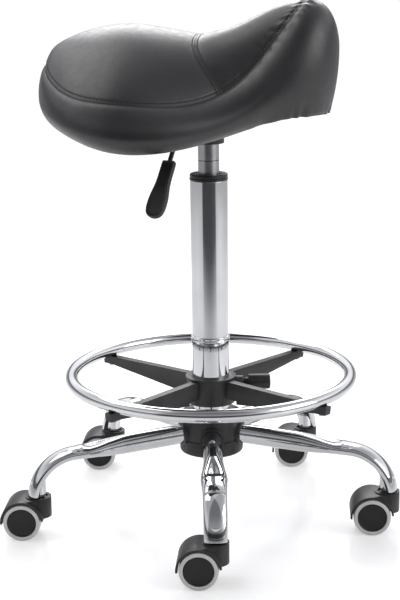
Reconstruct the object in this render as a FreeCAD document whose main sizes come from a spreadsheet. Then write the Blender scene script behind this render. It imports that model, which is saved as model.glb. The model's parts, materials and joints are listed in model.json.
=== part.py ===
import FreeCAD, Part
import math
import os

import Sketcher

os.makedirs("parts", exist_ok=True)
doc = FreeCAD.newDocument("SaddleStool")
sheet = doc.addObject("Spreadsheet::Sheet", "Sizes")
Vector = FreeCAD.Vector
Z_AXIS = Vector(0, 0, 1)
nodes = {}

# Driving dimensions, in millimetres and degrees. Heights are above the floor.
# The seat faces -Y, and the swivel column stands on the origin.
DIMENSIONS = {
    # swivel column: riser tube, gas-lift stand tube, gas cylinder
    "riser_radius": 25.2,
    "riser_wall": 1.5,
    "riser_foot": 100.0,
    "riser_top": 249.5,
    "collar_depth": 7.0,
    "collar_stand_proud": 1.5,
    "stand_radius": 25.0,
    "stand_wall": 1.5,
    "stand_foot": 195.0,
    "stand_top": 470.0,
    "plug_wall": 2.0,
    "plug_taper": 1.0,
    "floor_plate": 4.0,
    "bush_cap": 8.0,
    "bush_cap_proud": 0.8,
    "bush_sleeve": 70.0,
    "cylinder_radius": 14.0,
    "cylinder_wall": 2.0,
    "cylinder_foot": 250.0,
    "cylinder_drop": 17.0,
    "cylinder_cap": 12.0,
    "valve_block": 20.0,
    "taper_length": 26.0,
    "taper_drop": 0.8,
    "rod_radius": 5.0,
    "piston_foot": 425.0,
    "piston_depth": 12.0,
    "bearing_radius": 11.0,
    "bearing_depth": 5.0,
    "buffer_radius": 12.0,
    "buffer_depth": 9.0,
    "clip_radius": 10.0,
    "clip_depth": 2.0,
    "clip_groove": 1.0,
    "rod_tail": 4.0,
    "running_gap": 0.05,
    "pin_radius": 4.0,
    "pin_gap": 0.4,
    "pin_length": 16.0,
    # five-legged base
    "hub_radius": 29.0,
    "hub_foot": 98.0,
    "hub_top": 140.0,
    "cover_wall": 2.5,
    "upper_cover_radius": 42.0,
    "lower_cover_radius": 43.5,
    "cover_top": 148.0,
    "cover_parting": 112.0,
    "cover_foot": 92.0,
    "cover_edge_round": 4.0,
    "cover_hole_gap": 0.4,
    "leg_arch_gap": 1.2,
    "base_turn": 48.0,
    "leg_radius": 13.5,
    "leg_wall": 1.5,
    "leg_hub_height": 118.7,
    "leg_fall": 3.3,
    "leg_round_reach": 90.0,
    "leg_root_depth": 8.0,
    "leg_crease_setback": 19.0,
    "leg_end_offset": 6.3,
    "leg_bend_radius": 60.0,
    "leg_bend_angle": 83.0,
    "leg_crease_half_width": 17.5,
    "leg_crease_half_depth": 8.2,
    "leg_end_half_width": 15.0,
    "leg_end_half_depth": 7.2,
    "swivel_reach": 246.8,
    "socket_radius": 10.3,
    "socket_foot": 58.0,
    "socket_height": 27.0,
    "stem_radius": 5.5,
    "stem_foot": 31.0,
    "stem_depth_in_socket": 24.0,
    "stem_collar_radius": 8.0,
    "stem_collar_gap": 0.4,
    # hooded twin-wheel casters
    "caster_trail": 20.3,
    "trail_direction": 97.9,
    "wheel_radius": 25.0,
    "disc_radius": 19.6,
    "wheel_width": 18.2,
    "wheel_outer_face": 26.35,
    "disc_recess": 1.1,
    "tread_round": 2.6,
    "axle_radius": 4.0,
    "axle_half_length": 21.0,
    "hood_half_width": 25.5,
    "hood_gap": 1.3,
    "hood_wall": 2.8,
    "hood_skirt_drop": 2.0,
    "hood_top": 55.6,
    "hood_block_radius": 17.0,
    "hood_block_foot": 28.0,
    "hood_recess_radius": 12.5,
    "hood_recess_depth": 2.2,
    "hub_block_half_width": 7.6,
    "hub_block_radius": 9.0,
    # foot ring and its sliding bracket
    "ring_reach": 190.2,
    "ring_tube_radius": 8.8,
    "ring_tube_wall": 1.4,
    "ring_height": 200.5,
    "spoke_turn": 60.0,
    "bracket_bore_gap": 0.25,
    "bracket_radius": 33.0,
    "bracket_foot": 162.0,
    "bracket_top": 196.0,
    "bracket_flange_radius": 34.5,
    "bracket_flange": 3.0,
    "spoke_width": 11.0,
    "spoke_root_foot": 167.0,
    "spoke_tip_foot": 181.5,
    "spoke_tip_reach": 201.5,
    "spoke_tip_top": 193.0,
    "spoke_flat_reach": 183.0,
    "spoke_notch_reach": 50.0,
    "spoke_notch_depth": 4.5,
    "lip_thickness": 3.0,
    "lip_rise": 8.0,
    "screw_head_radius": 3.6,
    "screw_head_depth": 2.4,
    "screw_radius": 2.0,
    "clamp_height": 187.5,
    "clamp_direction": -75.3,
    "boss_radius": 9.0,
    "boss_reach": 44.0,
    "knob_radius": 10.6,
    "knob_reach": 51.5,
    "knob_length": 30.0,
    "knob_neck_radius": 6.0,
    "knob_neck_reach": 46.0,
    "knob_bevel": 1.5,
    "stud_radius": 4.0,
    "shoe_depth": 2.4,
    "shoe_gap": 0.05,
    # seat plate, lever and seat shell
    "plate_sink": 2.0,
    "plate_seat_gap": 1.0,
    "plate_thickness": 2.5,
    "plate_pan_depth": 20.0,
    "plate_pan_length": 100.0,
    "plate_pan_width": 88.0,
    "plate_rim": 15.0,
    "plate_bolt_inset": 8.0,
    "plate_socket_radius": 21.0,
    "bolt_radius": 3.0,
    "bolt_head_radius": 5.5,
    "bolt_head_depth": 4.0,
    "tee_nut_radius": 8.5,
    "tee_nut_flange": 1.5,
    "tee_nut_barrel": 4.0,
    "tee_nut_sink": 4.0,
    "lever_direction": 163.1,
    "lever_rod_radius": 3.0,
    "lever_pivot_reach": 27.0,
    "lever_drop": 9.6,
    "lever_bend_reach": 74.5,
    "lever_slope": 55.0,
    "lever_bend_radius": 14.0,
    "lever_slot_half_width": 4.2,
    "lever_inner_end": 4.0,
    "lever_sleeve_radius": 4.6,
    "lever_sleeve_half_length": 5.0,
    "pivot_radius": 2.0,
    "pivot_ear": 2.5,
    "pivot_ear_gap": 0.4,
    "pivot_ear_half_length": 6.0,
    "paddle_length": 80.0,
    "paddle_grip": 26.0,
    "paddle_neck": 30.0,
    "paddle_spoon": 52.0,
    "paddle_end_round": 12.0,
    "paddle_shoulder_round": 24.0,
    "paddle_edge_round": 2.4,
    "paddle_reach": 105.0,
    "paddle_neck_half_width": 7.0,
    "paddle_half_width": 12.5,
    "paddle_thickness": 8.4,
    "board_under": 560.0,
    "board_thickness": 12.0,
    "board_edge_inset": 4.0,
    "cover_thickness": 1.5,
    "hem_width": 26.0,
    "seat_front": 131.2,
    "seat_back": -213.8,
    "seat_middle": -40.0,
}

# Cushion sizes at even stations round the outline, from the front tip to the back. The seam
# and the lower edge are heights over the board's underside. The last two are shares: how high
# the band is widest, and how round it is above that.
CUSHION = {
    "half_width": (92.0, 80.5, 118.5, 177.5, 182.5, 178.0),
    "seam_height": (147.0, 115.5, 41.0, 24.5, 32.0, 51.0, 65.5),
    "crown_rise": (1.0, 65.0, 83.0, 88.5, 89.0, 76.5),
    "edge_height": (1.0, -4.5, -34.0, -16.5, -13.0),
    "edge_flare": (29.7, 5.0, -8.4),
    "side_bulge": (41.0, 24.0, 8.0),
    "widest_share": (0.57, 0.55),
    "roundness": (0.43, 0.6),
}
for quantity, values in CUSHION.items():
    for station, value in enumerate(values):
        DIMENSIONS[f"{quantity}_{station}"] = value

# Sizes worked out from the ones above.
DERIVED = {
    # centre line
    "zero": "0",
    # heights that follow the seat board
    "plate_top": "board_under + plate_sink",
    "cylinder_top": "plate_top - cylinder_drop",
    "lever_height": "plate_top - lever_drop",
    # legs: the bend brings the tube's end over the caster's stem
    "leg_bend_run": "leg_bend_radius * (sin(leg_bend_angle) - sin(leg_fall))",
    "leg_bend_reach": "swivel_reach + leg_end_offset - leg_bend_run",
    "leg_crease_reach": "leg_bend_reach - leg_crease_setback",
    "leg_trim_radius": "2 * leg_crease_half_width",
    # riser tube and joint collar
    "riser_bore": "riser_radius - riser_wall",
    "collar_radius": "riser_radius + collar_stand_proud",
    "collar_top": "riser_top + collar_depth",
    "collar_round": "collar_stand_proud * 0.9",
    # stand tube and guide bush
    "stand_bore": "stand_radius - stand_wall",
    "plug_foot_radius": "riser_bore - plug_taper",
    "plug_bore": "plug_foot_radius - plug_wall",
    "floor_top": "stand_foot + floor_plate",
    "rod_hole": "rod_radius + running_gap",
    "cap_radius": "stand_radius + bush_cap_proud",
    "cap_top": "stand_top + bush_cap",
    "sleeve_foot": "stand_top - bush_sleeve",
    "slide_bore": "cylinder_radius + running_gap",
    "cap_round": "bush_cap / 5",
    # bearing, buffer and clip on the tube's floor
    "bearing_top": "floor_top + bearing_depth",
    "buffer_top": "bearing_top + buffer_depth",
    "clip_foot": "stand_foot - clip_depth",
    "clip_bore": "rod_radius - clip_groove",
    # piston rod and gas cylinder
    "rod_foot": "clip_foot - rod_tail",
    "piston_radius": "cylinder_radius - cylinder_wall - running_gap",
    "piston_top": "piston_foot + piston_depth",
    "cylinder_bore": "cylinder_radius - cylinder_wall",
    "cylinder_cap_top": "cylinder_foot + cylinder_cap",
    "valve_foot": "cylinder_top - valve_block",
    "taper_foot": "cylinder_top - taper_length",
    "taper_top_radius": "cylinder_radius - taper_drop",
    "pin_hole": "pin_radius + running_gap",
    "pin_top": "lever_height - lever_rod_radius - pin_gap",
    "pin_foot": "pin_top - pin_length",
    # hub covers
    "leg_arch_radius": "leg_radius + leg_arch_gap",
    "leg_arch_height": "leg_hub_height",
    "lower_cover_span": "lower_cover_radius + 1",
    "upper_inner": "upper_cover_radius - cover_wall",
    "lower_inner": "lower_cover_radius - cover_wall",
    "cover_ceiling": "cover_top - cover_wall",
    "cover_floor_top": "cover_foot + cover_wall",
    "cover_hole": "riser_radius + cover_hole_gap",
    "cover_drain": "riser_bore - 8",
    # caster stems and hoods
    "stem_length": "socket_foot + stem_depth_in_socket - stem_foot",
    "stem_collar_foot": "hood_top - hood_recess_depth + stem_collar_gap",
    "stem_collar_depth": "socket_foot - stem_collar_foot",
    "roof_inner": "wheel_radius + hood_gap",
    "roof_outer": "roof_inner + hood_wall",
    "skirt_foot": "wheel_radius - hood_skirt_drop",
    "block_height": "hood_top - hood_block_foot",
    "hood_recess_foot": "hood_top - hood_recess_depth",
    "stem_bore": "stem_radius + running_gap",
    "roof_crown": "wheel_radius + roof_outer",
    # wheels
    "inner_face": "wheel_outer_face - wheel_width",
    "axle_bore": "axle_radius + running_gap",
    "disc_face": "wheel_width - disc_recess",
    "axle_room": "axle_half_length - inner_face + 0.3",
    # ring bracket
    "bracket_bore": "riser_radius + bracket_bore_gap",
    "flange_top": "bracket_top + bracket_flange",
    "spoke_root": "(bracket_bore + bracket_radius) / 2",
    "notch_top": "spoke_root_foot + spoke_notch_depth",
    "tip_foot_end": "spoke_tip_reach - lip_thickness / 2",
    "lip_top": "spoke_tip_foot + lip_rise + lip_thickness",
    "ring_underside": "ring_height - ring_tube_radius",
    # clamp
    "shoe_start": "riser_radius + shoe_gap",
    "shoe_end": "shoe_start + shoe_depth",
    "knob_end": "knob_reach + knob_length",
    # seat plate and its bolts
    "plate_length": "plate_pan_length + 2 * plate_rim",
    "plate_width": "plate_pan_width + 2 * plate_rim",
    "pan_floor": "plate_top - plate_pan_depth",
    "pan_floor_top": "pan_floor + plate_thickness",
    "rim_foot": "plate_top - plate_thickness",
    "bolt_across": "plate_width / 2 - plate_bolt_inset",
    "bolt_along": "plate_length / 2 - plate_bolt_inset",
    "tee_nut_foot": "plate_top + board_thickness - tee_nut_sink",
    "tee_nut_top": "tee_nut_foot + tee_nut_flange",
    # lever paddle
    "neck_side": "-paddle_neck_half_width",
    "spoon_side": "-paddle_half_width",
}

entries = {alias: str(value) for alias, value in DIMENSIONS.items()}
entries.update({alias: f"={formula}" for alias, formula in DERIVED.items()})
for row, (alias, entry) in enumerate(entries.items(), start=1):
    sheet.set(f"A{row}", alias)
    sheet.set(f"B{row}", entry)
    sheet.setAlias(f"B{row}", alias)
doc.recompute()


def size(alias):
    """The sheet's value of one named size."""
    return float(sheet.get(alias))


def bind(thing, **expressions):
    """Ties properties to the sheet: double underscores stand for dots."""
    for name, expression in expressions.items():
        thing.setExpression(name.replace("__", "."), expression)


def keep(thing, name):
    """Makes an object the sub-part of that name."""
    thing.Label = name
    nodes[name] = thing
    return thing


def plane_of(body, role):
    return next(item for item in body.Origin.OriginFeatures if item.Role == role)


def sketch_on(body, role, height=None):
    sketch = body.newObject("Sketcher::SketchObject", "Outline")
    sketch.AttachmentSupport = [(plane_of(body, role), "")]
    sketch.MapMode = "FlatFace"
    if height:
        bind(sketch, AttachmentOffset__Base__z=height)
    return sketch


def pin_point(sketch, geometry, end, place):
    """Holds one point of a sketch at a pair of named sizes."""
    for kind, alias in zip(("DistanceX", "DistanceY"), place):
        constraint = Sketcher.Constraint(kind, -1, 1, geometry, end, size(alias))
        index = sketch.addConstraint(constraint)
        sketch.setExpression(f"Constraints[{index}]", f"Sizes.{alias}")


def outline(sketch, corners):
    """A closed outline of straight lines through named corners."""
    points = [Vector(size(across), size(up), 0) for across, up in corners]
    count = len(points)
    first = sketch.GeometryCount
    for number in range(count):
        line = Part.LineSegment(points[number], points[(number + 1) % count])
        sketch.addGeometry(line, False)
    for number in range(count):
        after = first + (number + 1) % count
        sketch.addConstraint(Sketcher.Constraint("Coincident", first + number, 2, after, 1))
    for number, place in enumerate(corners):
        pin_point(sketch, first + number, 1, place)
    return sketch


def circle(sketch, centre, radius):
    """A circle at a named centre, with a named radius."""
    middle = Vector(size(centre[0]), size(centre[1]), 0)
    index = sketch.addGeometry(Part.Circle(middle, Z_AXIS, size(radius)), False)
    rim = sketch.addConstraint(Sketcher.Constraint("Radius", index, size(radius)))
    sketch.setExpression(f"Constraints[{rim}]", f"Sizes.{radius}")
    pin_point(sketch, index, 3, centre)
    return sketch


def new_body(name):
    return keep(doc.addObject("PartDesign::Body", name), name)


def revolve(body, corners):
    """Turns an outline of (radius, height) corners about the upright axis."""
    sketch = outline(sketch_on(body, "XZ_Plane"), corners)
    turned = body.newObject("PartDesign::Revolution", "Turned")
    turned.Profile = sketch
    turned.ReferenceAxis = (sketch, ["V_Axis"])
    turned.Angle = 360
    return turned


def turned_body(name, corners):
    body = new_body(name)
    revolve(body, corners)
    return body


def round_edges(body, base, test, radius, kind="Fillet"):
    """Rounds or bevels those edges of a feature that pass a test."""
    doc.recompute()
    names = [f"Edge{number}" for number, edge in enumerate(base.Shape.Edges, 1) if test(edge)]
    rounded = body.newObject(f"PartDesign::{kind}", kind)
    rounded.Base = (base, names)
    bind(rounded, **{"Radius" if kind == "Fillet" else "Size": f"Sizes.{radius}"})
    return rounded


def rim_at(radius, height):
    """A test for the circular edge of that radius at that height."""

    def passes(edge):
        box = edge.BoundBox
        flat = abs(box.ZMin - size(height)) < 0.01 and abs(box.ZMax - size(height)) < 0.01
        return flat and abs(box.XLength - 2 * size(radius)) < 0.01

    return passes


def cut_through(body, sketch, length, backwards=False, both=False):
    """Pockets a sketch over a named length and makes sure that it cut."""
    doc.recompute()
    before = body.Shape.Volume
    pocket = body.newObject("PartDesign::Pocket", "Pocket")
    pocket.Profile = sketch
    pocket.Reversed = backwards
    if both:
        pocket.SideType = "Symmetric"
    bind(pocket, Length=f"Sizes.{length}")
    doc.recompute()
    if body.Shape.Volume >= before:
        raise RuntimeError(f"a pocket in {body.Label} cut nothing")
    return pocket


def pad(body, sketch, length, backwards=False, both=False):
    padded = body.newObject("PartDesign::Pad", "Pad")
    padded.Profile = sketch
    padded.Reversed = backwards
    if both:
        padded.SideType = "Symmetric"
    bind(padded, Length=f"Sizes.{length}")
    return padded


def about_axis(body, feature, count):
    """Repeats a feature evenly round the upright axis."""
    pattern = body.newObject("PartDesign::PolarPattern", "Around")
    pattern.Originals = [feature]
    pattern.Axis = (plane_of(body, "Z_Axis"), [""])
    pattern.Angle = 360
    pattern.Occurrences = count
    body.Tip = pattern
    return pattern


def cylinder(radius, height, foot, name="Round"):
    """An upright round bar from expressions."""
    bar = doc.addObject("Part::Cylinder", name)
    bind(bar, Radius=radius, Height=height, Placement__Base__z=foot)
    return bar


def turn(angle, offset=Vector(0, 0, 0)):
    """A placement turned about the upright axis by an angle in degrees."""
    rotation = FreeCAD.Rotation(Z_AXIS, angle)
    return FreeCAD.Placement(rotation.multVec(offset), rotation)


def block(length, width, height, place):
    """A box from expressions, placed by its lowest corner."""
    box = doc.addObject("Part::Box", "Block")
    bind(box, Length=length, Width=width, Height=height)
    bind(box, Placement__Base__x=place[0], Placement__Base__y=place[1], Placement__Base__z=place[2])
    return box


def join(name, *pieces):
    merged = doc.addObject("Part::MultiFuse", name)
    merged.Shapes = list(pieces)
    return merged


def cut(name, base, tool):
    result = doc.addObject("Part::Cut", name)
    result.Base = base
    result.Tool = tool
    return result


def copy_of(master, name, placement):
    piece = doc.addObject("Part::Feature", name)
    piece.Shape = master.Shape
    piece.Placement = placement
    return keep(piece, name)


# Riser tube: welded into the hub, it carries the gas lift and guides the foot-ring bracket.
turned_body(
    "riser_tube",
    [
        ("riser_bore", "riser_foot"),
        ("riser_radius", "riser_foot"),
        ("riser_radius", "riser_top"),
        ("riser_bore", "riser_top"),
    ],
)

# Joint collar: the rolled ring that hides the step between riser and stand tube.
collar = new_body("joint_collar")
ring = revolve(
    collar,
    [
        ("stand_radius", "riser_top"),
        ("collar_radius", "riser_top"),
        ("collar_radius", "collar_top"),
        ("stand_radius", "collar_top"),
    ],
)
round_edges(collar, ring, rim_at("collar_radius", "riser_top"), "collar_round")
round_edges(collar, collar.Tip, rim_at("collar_radius", "collar_top"), "collar_round")

# Stand tube: chromed outer tube of the gas lift, with a tapered plug that wedges in the riser.
turned_body(
    "stand_tube",
    [
        ("rod_hole", "stand_foot"),
        ("plug_foot_radius", "stand_foot"),
        ("riser_bore", "riser_top"),
        ("stand_radius", "riser_top"),
        ("stand_radius", "stand_top"),
        ("stand_bore", "stand_top"),
        ("stand_bore", "collar_top"),
        ("plug_bore", "riser_top"),
        ("plug_bore", "floor_top"),
        ("rod_hole", "floor_top"),
    ],
)

# Guide bush: black plastic sleeve pressed in the top of the stand tube, where the cylinder slides.
bush = new_body("guide_bush")
ring = revolve(
    bush,
    [
        ("slide_bore", "sleeve_foot"),
        ("stand_bore", "sleeve_foot"),
        ("stand_bore", "stand_top"),
        ("cap_radius", "stand_top"),
        ("cap_radius", "cap_top"),
        ("slide_bore", "cap_top"),
    ],
)
round_edges(bush, ring, rim_at("cap_radius", "cap_top"), "cap_round")

# Thrust bearing, rubber buffer and retaining clip hold the piston rod on the tube's floor.
turned_body(
    "thrust_bearing",
    [
        ("rod_hole", "floor_top"),
        ("bearing_radius", "floor_top"),
        ("bearing_radius", "bearing_top"),
        ("rod_hole", "bearing_top"),
    ],
)
turned_body(
    "rubber_buffer",
    [
        ("rod_hole", "bearing_top"),
        ("bearing_radius", "bearing_top"),
        ("buffer_radius", "buffer_top"),
        ("rod_hole", "buffer_top"),
    ],
)
turned_body(
    "retaining_clip",
    [
        ("clip_bore", "clip_foot"),
        ("clip_radius", "clip_foot"),
        ("clip_radius", "stand_foot"),
        ("clip_bore", "stand_foot"),
    ],
)

# Piston rod: stands on the floor of the stand tube and turns with the seat.
turned_body(
    "piston_rod",
    [
        ("zero", "rod_foot"),
        ("rod_radius", "rod_foot"),
        ("rod_radius", "clip_foot"),
        ("clip_bore", "clip_foot"),
        ("clip_bore", "stand_foot"),
        ("rod_radius", "stand_foot"),
        ("rod_radius", "piston_foot"),
        ("piston_radius", "piston_foot"),
        ("piston_radius", "piston_top"),
        ("zero", "piston_top"),
    ],
)

# Gas cylinder: slides over the piston rod, its taper wedged in the seat plate's socket.
turned_body(
    "gas_cylinder",
    [
        ("rod_hole", "cylinder_foot"),
        ("cylinder_radius", "cylinder_foot"),
        ("cylinder_radius", "taper_foot"),
        ("taper_top_radius", "cylinder_top"),
        ("pin_hole", "cylinder_top"),
        ("pin_hole", "valve_foot"),
        ("cylinder_bore", "valve_foot"),
        ("cylinder_bore", "cylinder_cap_top"),
        ("rod_hole", "cylinder_cap_top"),
    ],
)

# Release pin: the button on top of the cylinder that opens its valve.
turned_body(
    "release_pin",
    [
        ("zero", "pin_foot"),
        ("pin_radius", "pin_foot"),
        ("pin_radius", "pin_top"),
        ("zero", "pin_top"),
    ],
)

# Hub core: steel boss that the legs are welded to, bored for the riser tube.
turned_body(
    "hub_core",
    [
        ("riser_radius", "hub_foot"),
        ("hub_radius", "hub_foot"),
        ("hub_radius", "hub_top"),
        ("riser_radius", "hub_top"),
    ],
)


def leg_arches(body):
    """Cuts the five round openings that the legs pass through."""
    sketch = circle(sketch_on(body, "YZ_Plane"), ("zero", "leg_arch_height"), "leg_arch_radius")
    arch = cut_through(body, sketch, "lower_cover_span", backwards=True)
    about_axis(body, arch, 5)
    body.Placement = turn(size("base_turn"))


# Hub covers: two moulded plastic shells that close over the welded hub.
upper_cover = new_body("hub_upper_cover")
shell = revolve(
    upper_cover,
    [
        ("upper_inner", "cover_parting"),
        ("upper_cover_radius", "cover_parting"),
        ("upper_cover_radius", "cover_top"),
        ("cover_hole", "cover_top"),
        ("cover_hole", "cover_ceiling"),
        ("upper_inner", "cover_ceiling"),
    ],
)
round_edges(upper_cover, shell, rim_at("upper_cover_radius", "cover_top"), "cover_edge_round")
leg_arches(upper_cover)
lower_cover = new_body("hub_lower_cover")
shell = revolve(
    lower_cover,
    [
        ("cover_drain", "cover_foot"),
        ("lower_cover_radius", "cover_foot"),
        ("lower_cover_radius", "cover_parting"),
        ("lower_inner", "cover_parting"),
        ("lower_inner", "cover_floor_top"),
        ("cover_drain", "cover_floor_top"),
    ],
)
round_edges(lower_cover, shell, rim_at("lower_cover_radius", "cover_foot"), "cover_edge_round")
leg_arches(lower_cover)


# Legs: round tube, squashed towards its outer end and bent down over the caster. The
# socket for the caster's stem is welded into the bent end, which is trimmed flush with it.
BEND_STATIONS = 3


def leg_stations():
    """Stations along the leg: (reach, height, slope down in degrees, half width, half depth)."""
    fall = math.radians(size("leg_fall"))
    round_tube = (size("leg_radius"), size("leg_radius"))
    crease = (size("leg_crease_half_width"), size("leg_crease_half_depth"))
    for reach, halves in (
        (size("hub_radius") - size("leg_root_depth"), round_tube),
        (size("leg_round_reach"), round_tube),
        (size("leg_crease_reach"), crease),
    ):
        height = size("leg_hub_height") - (reach - size("upper_cover_radius")) * math.tan(fall)
        yield reach, height, size("leg_fall"), *halves
    start = size("leg_hub_height") - (size("leg_bend_reach") - size("upper_cover_radius")) * math.tan(fall)
    for number in range(1, BEND_STATIONS + 1):
        share = number / BEND_STATIONS
        slope = size("leg_fall") + (size("leg_bend_angle") - size("leg_fall")) * share
        angle = math.radians(slope)
        reach = size("leg_bend_reach") + size("leg_bend_radius") * (math.sin(angle) - math.sin(fall))
        height = start - size("leg_bend_radius") * (math.cos(fall) - math.cos(angle))
        half_width = crease[0] + (size("leg_end_half_width") - crease[0]) * share
        half_depth = crease[1] + (size("leg_end_half_depth") - crease[1]) * share
        yield reach, height, slope, half_width, half_depth


def leg_rings(inset):
    """Ellipses along the leg, smaller by the inset."""
    rings = []
    for reach, height, slope, half_width, half_depth in leg_stations():
        ring = Part.Ellipse(Vector(0, 0, 0), half_width - inset, half_depth - inset)
        edge = ring.toShape()
        lie = FreeCAD.Rotation(Vector(0, 1, 0), 90 + slope) * FreeCAD.Rotation(Z_AXIS, 90)
        edge.Placement = FreeCAD.Placement(Vector(reach, 0, height), lie)
        rings.append(Part.Wire([edge]))
    return rings


def closed_solid(faces):
    shell = Part.makeShell(faces)
    shell.sewShape()
    solid = Part.makeSolid(shell)
    if solid.Volume < 0:
        solid.reverse()
    return solid


leg_outside = leg_rings(0)
leg_inside = leg_rings(size("leg_wall"))
leg_faces = Part.makeLoft(leg_outside, False, True).Faces + Part.makeLoft(leg_inside, False, True).Faces
leg_faces += [Part.Face([leg_outside[end], leg_inside[end]], "Part::FaceMakerBullseye") for end in (0, -1)]
leg_tube = doc.addObject("Part::Feature", "LegTube")
leg_tube.Shape = closed_solid(leg_faces)
leg_socket = cylinder("Sizes.socket_radius", "Sizes.socket_height", "Sizes.socket_foot")
bind(leg_socket, Placement__Base__x="Sizes.swivel_reach")
leg_hub_cut = cylinder("Sizes.hub_radius", "Sizes.hub_top", "0")
leg_bore = cylinder("Sizes.stem_radius", "Sizes.stem_depth_in_socket", "Sizes.socket_foot")
bind(leg_bore, Placement__Base__x="Sizes.swivel_reach")
leg_trim = cylinder("Sizes.leg_trim_radius", "Sizes.socket_foot", "0")
bind(leg_trim, Placement__Base__x="Sizes.swivel_reach")
leg_master = cut(
    "LegMaster", join("LegWelded", leg_tube, leg_socket), join("LegVoids", leg_hub_cut, leg_bore, leg_trim)
)
doc.recompute()
leg_angles = [size("base_turn") + 72 * number for number in range(5)]
for number, angle in enumerate(leg_angles, 1):
    copy_of(leg_master, f"leg_{number}", turn(angle))

# Caster stems: steel pins held by their collars in the leg sockets.
stems = []
for angle in leg_angles:
    pin = cylinder("Sizes.stem_radius", "Sizes.stem_length", "Sizes.stem_foot", "StemPin")
    collar_disc = cylinder(
        "Sizes.stem_collar_radius", "Sizes.stem_collar_depth", "Sizes.stem_collar_foot", "StemCollar"
    )
    stem = join("Stem", pin, collar_disc)
    stem.Placement = turn(angle, Vector(size("swivel_reach"), 0, 0))
    stems.append(stem)
caster_stems = keep(doc.addObject("Part::Compound", "caster_stems"), "caster_stems")
caster_stems.Links = stems


def cross_cylinder(radius, half_length, name="Across"):
    """A round bar lying across the caster at its axle, from expressions."""
    bar = doc.addObject("Part::Cylinder", name)
    bar.Placement = FreeCAD.Placement(Vector(0, 0, 0), FreeCAD.Rotation(Vector(1, 0, 0), -90))
    bind(bar, Radius=radius, Height=f"2 * ({half_length})")
    bind(bar, Placement__Base__x="Sizes.caster_trail", Placement__Base__z="Sizes.wheel_radius")
    bind(bar, Placement__Base__y=f"-({half_length})")
    return bar


# Caster hoods: one moulding with a roof over both wheels, a block round the stem and a
# hub block between the wheels, with the steel axle pressed through it.
roof = cross_cylinder("Sizes.roof_outer", "Sizes.hood_half_width", "Roof")
stem_block = cylinder("Sizes.hood_block_radius", "Sizes.block_height", "Sizes.hood_block_foot", "StemBlock")
shoulder = doc.addObject("Part::Wedge", "Shoulder")
shoulder.Placement = FreeCAD.Placement(
    Vector(0, 0, 0), FreeCAD.Rotation(Vector(0, 0, 1), Vector(1, 0, 0), Vector(0, 1, 0))
)
bind(shoulder, Xmin="Sizes.hood_block_foot", Xmax="Sizes.roof_crown")
bind(shoulder, X2min="Sizes.hood_block_foot", X2max="Sizes.roof_crown")
bind(shoulder, Ymin="0", Ymax="Sizes.caster_trail")
bind(shoulder, Zmin="-Sizes.hood_block_radius", Zmax="Sizes.hood_block_radius")
bind(shoulder, Z2min="-Sizes.hood_half_width", Z2max="Sizes.hood_half_width")
wheel_room = cross_cylinder("Sizes.roof_inner", "Sizes.hood_half_width + 1", "WheelRoom")
open_foot = block(
    "2 * Sizes.roof_outer + 1",
    "2 * Sizes.hood_half_width + 2",
    "Sizes.skirt_foot + Sizes.wheel_radius",
    ("Sizes.caster_trail", "-Sizes.hood_half_width - 1", "-Sizes.wheel_radius"),
)
open_front = block(
    "2 * Sizes.roof_outer",
    "2 * Sizes.hood_half_width + 2",
    "Sizes.hood_block_foot + Sizes.wheel_radius",
    ("Sizes.caster_trail - 2 * Sizes.roof_outer", "-Sizes.hood_half_width - 1", "-Sizes.wheel_radius"),
)
hood_shell = cut(
    "HoodShell",
    join("HoodMass", roof, stem_block, shoulder),
    join("HoodRoom", wheel_room, open_foot, open_front),
)
web = block(
    "Sizes.caster_trail + Sizes.hub_block_radius",
    "2 * Sizes.hub_block_half_width",
    "Sizes.wheel_radius + Sizes.hub_block_radius - Sizes.hood_block_foot + 8",
    ("-Sizes.hub_block_radius", "-Sizes.hub_block_half_width", "Sizes.hood_block_foot"),
)
hub_block = cross_cylinder("Sizes.hub_block_radius", "Sizes.hub_block_half_width", "HubBlock")
axle = cross_cylinder("Sizes.axle_radius", "Sizes.axle_half_length", "Axle")
stem_room = cylinder("Sizes.stem_bore", "Sizes.hood_top", "Sizes.stem_foot - Sizes.running_gap")
recess = cylinder("Sizes.hood_recess_radius", "Sizes.hood_top", "Sizes.hood_recess_foot")
hood_master = cut(
    "HoodMaster", join("HoodBody", hood_shell, web, hub_block, axle), join("StemRoom", stem_room, recess)
)
# Wheels: a black nylon disc with a soft grey tread moulded round it, free on the axle.
disc_master = doc.addObject("PartDesign::Body", "DiscMaster")
revolve(
    disc_master,
    [
        ("axle_bore", "zero"),
        ("disc_radius", "zero"),
        ("disc_radius", "disc_face"),
        ("zero", "disc_face"),
        ("zero", "axle_room"),
        ("axle_bore", "axle_room"),
    ],
)
tread_master = doc.addObject("PartDesign::Body", "TreadMaster")
band = revolve(
    tread_master,
    [
        ("disc_radius", "zero"),
        ("wheel_radius", "zero"),
        ("wheel_radius", "wheel_width"),
        ("disc_radius", "wheel_width"),
    ],
)
round_edges(tread_master, band, rim_at("wheel_radius", "wheel_width"), "tread_round")
doc.recompute()


for number, angle in enumerate(leg_angles, 1):
    swivel_point = turn(angle, Vector(size("swivel_reach"), 0, 0)).Base
    trailing = FreeCAD.Placement(swivel_point, FreeCAD.Rotation(Z_AXIS, size("trail_direction")))
    copy_of(hood_master, f"caster_{number}_hood", trailing)
    for side, outward in (("a", 1), ("b", -1)):
        seat = Vector(size("caster_trail"), outward * size("inner_face"), size("wheel_radius"))
        lie = FreeCAD.Rotation(Vector(1, 0, 0), -90 * outward)
        place = trailing * FreeCAD.Placement(seat, lie)
        copy_of(disc_master, f"caster_{number}_disc_{side}", place)
        copy_of(tread_master, f"caster_{number}_tread_{side}", place)

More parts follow.
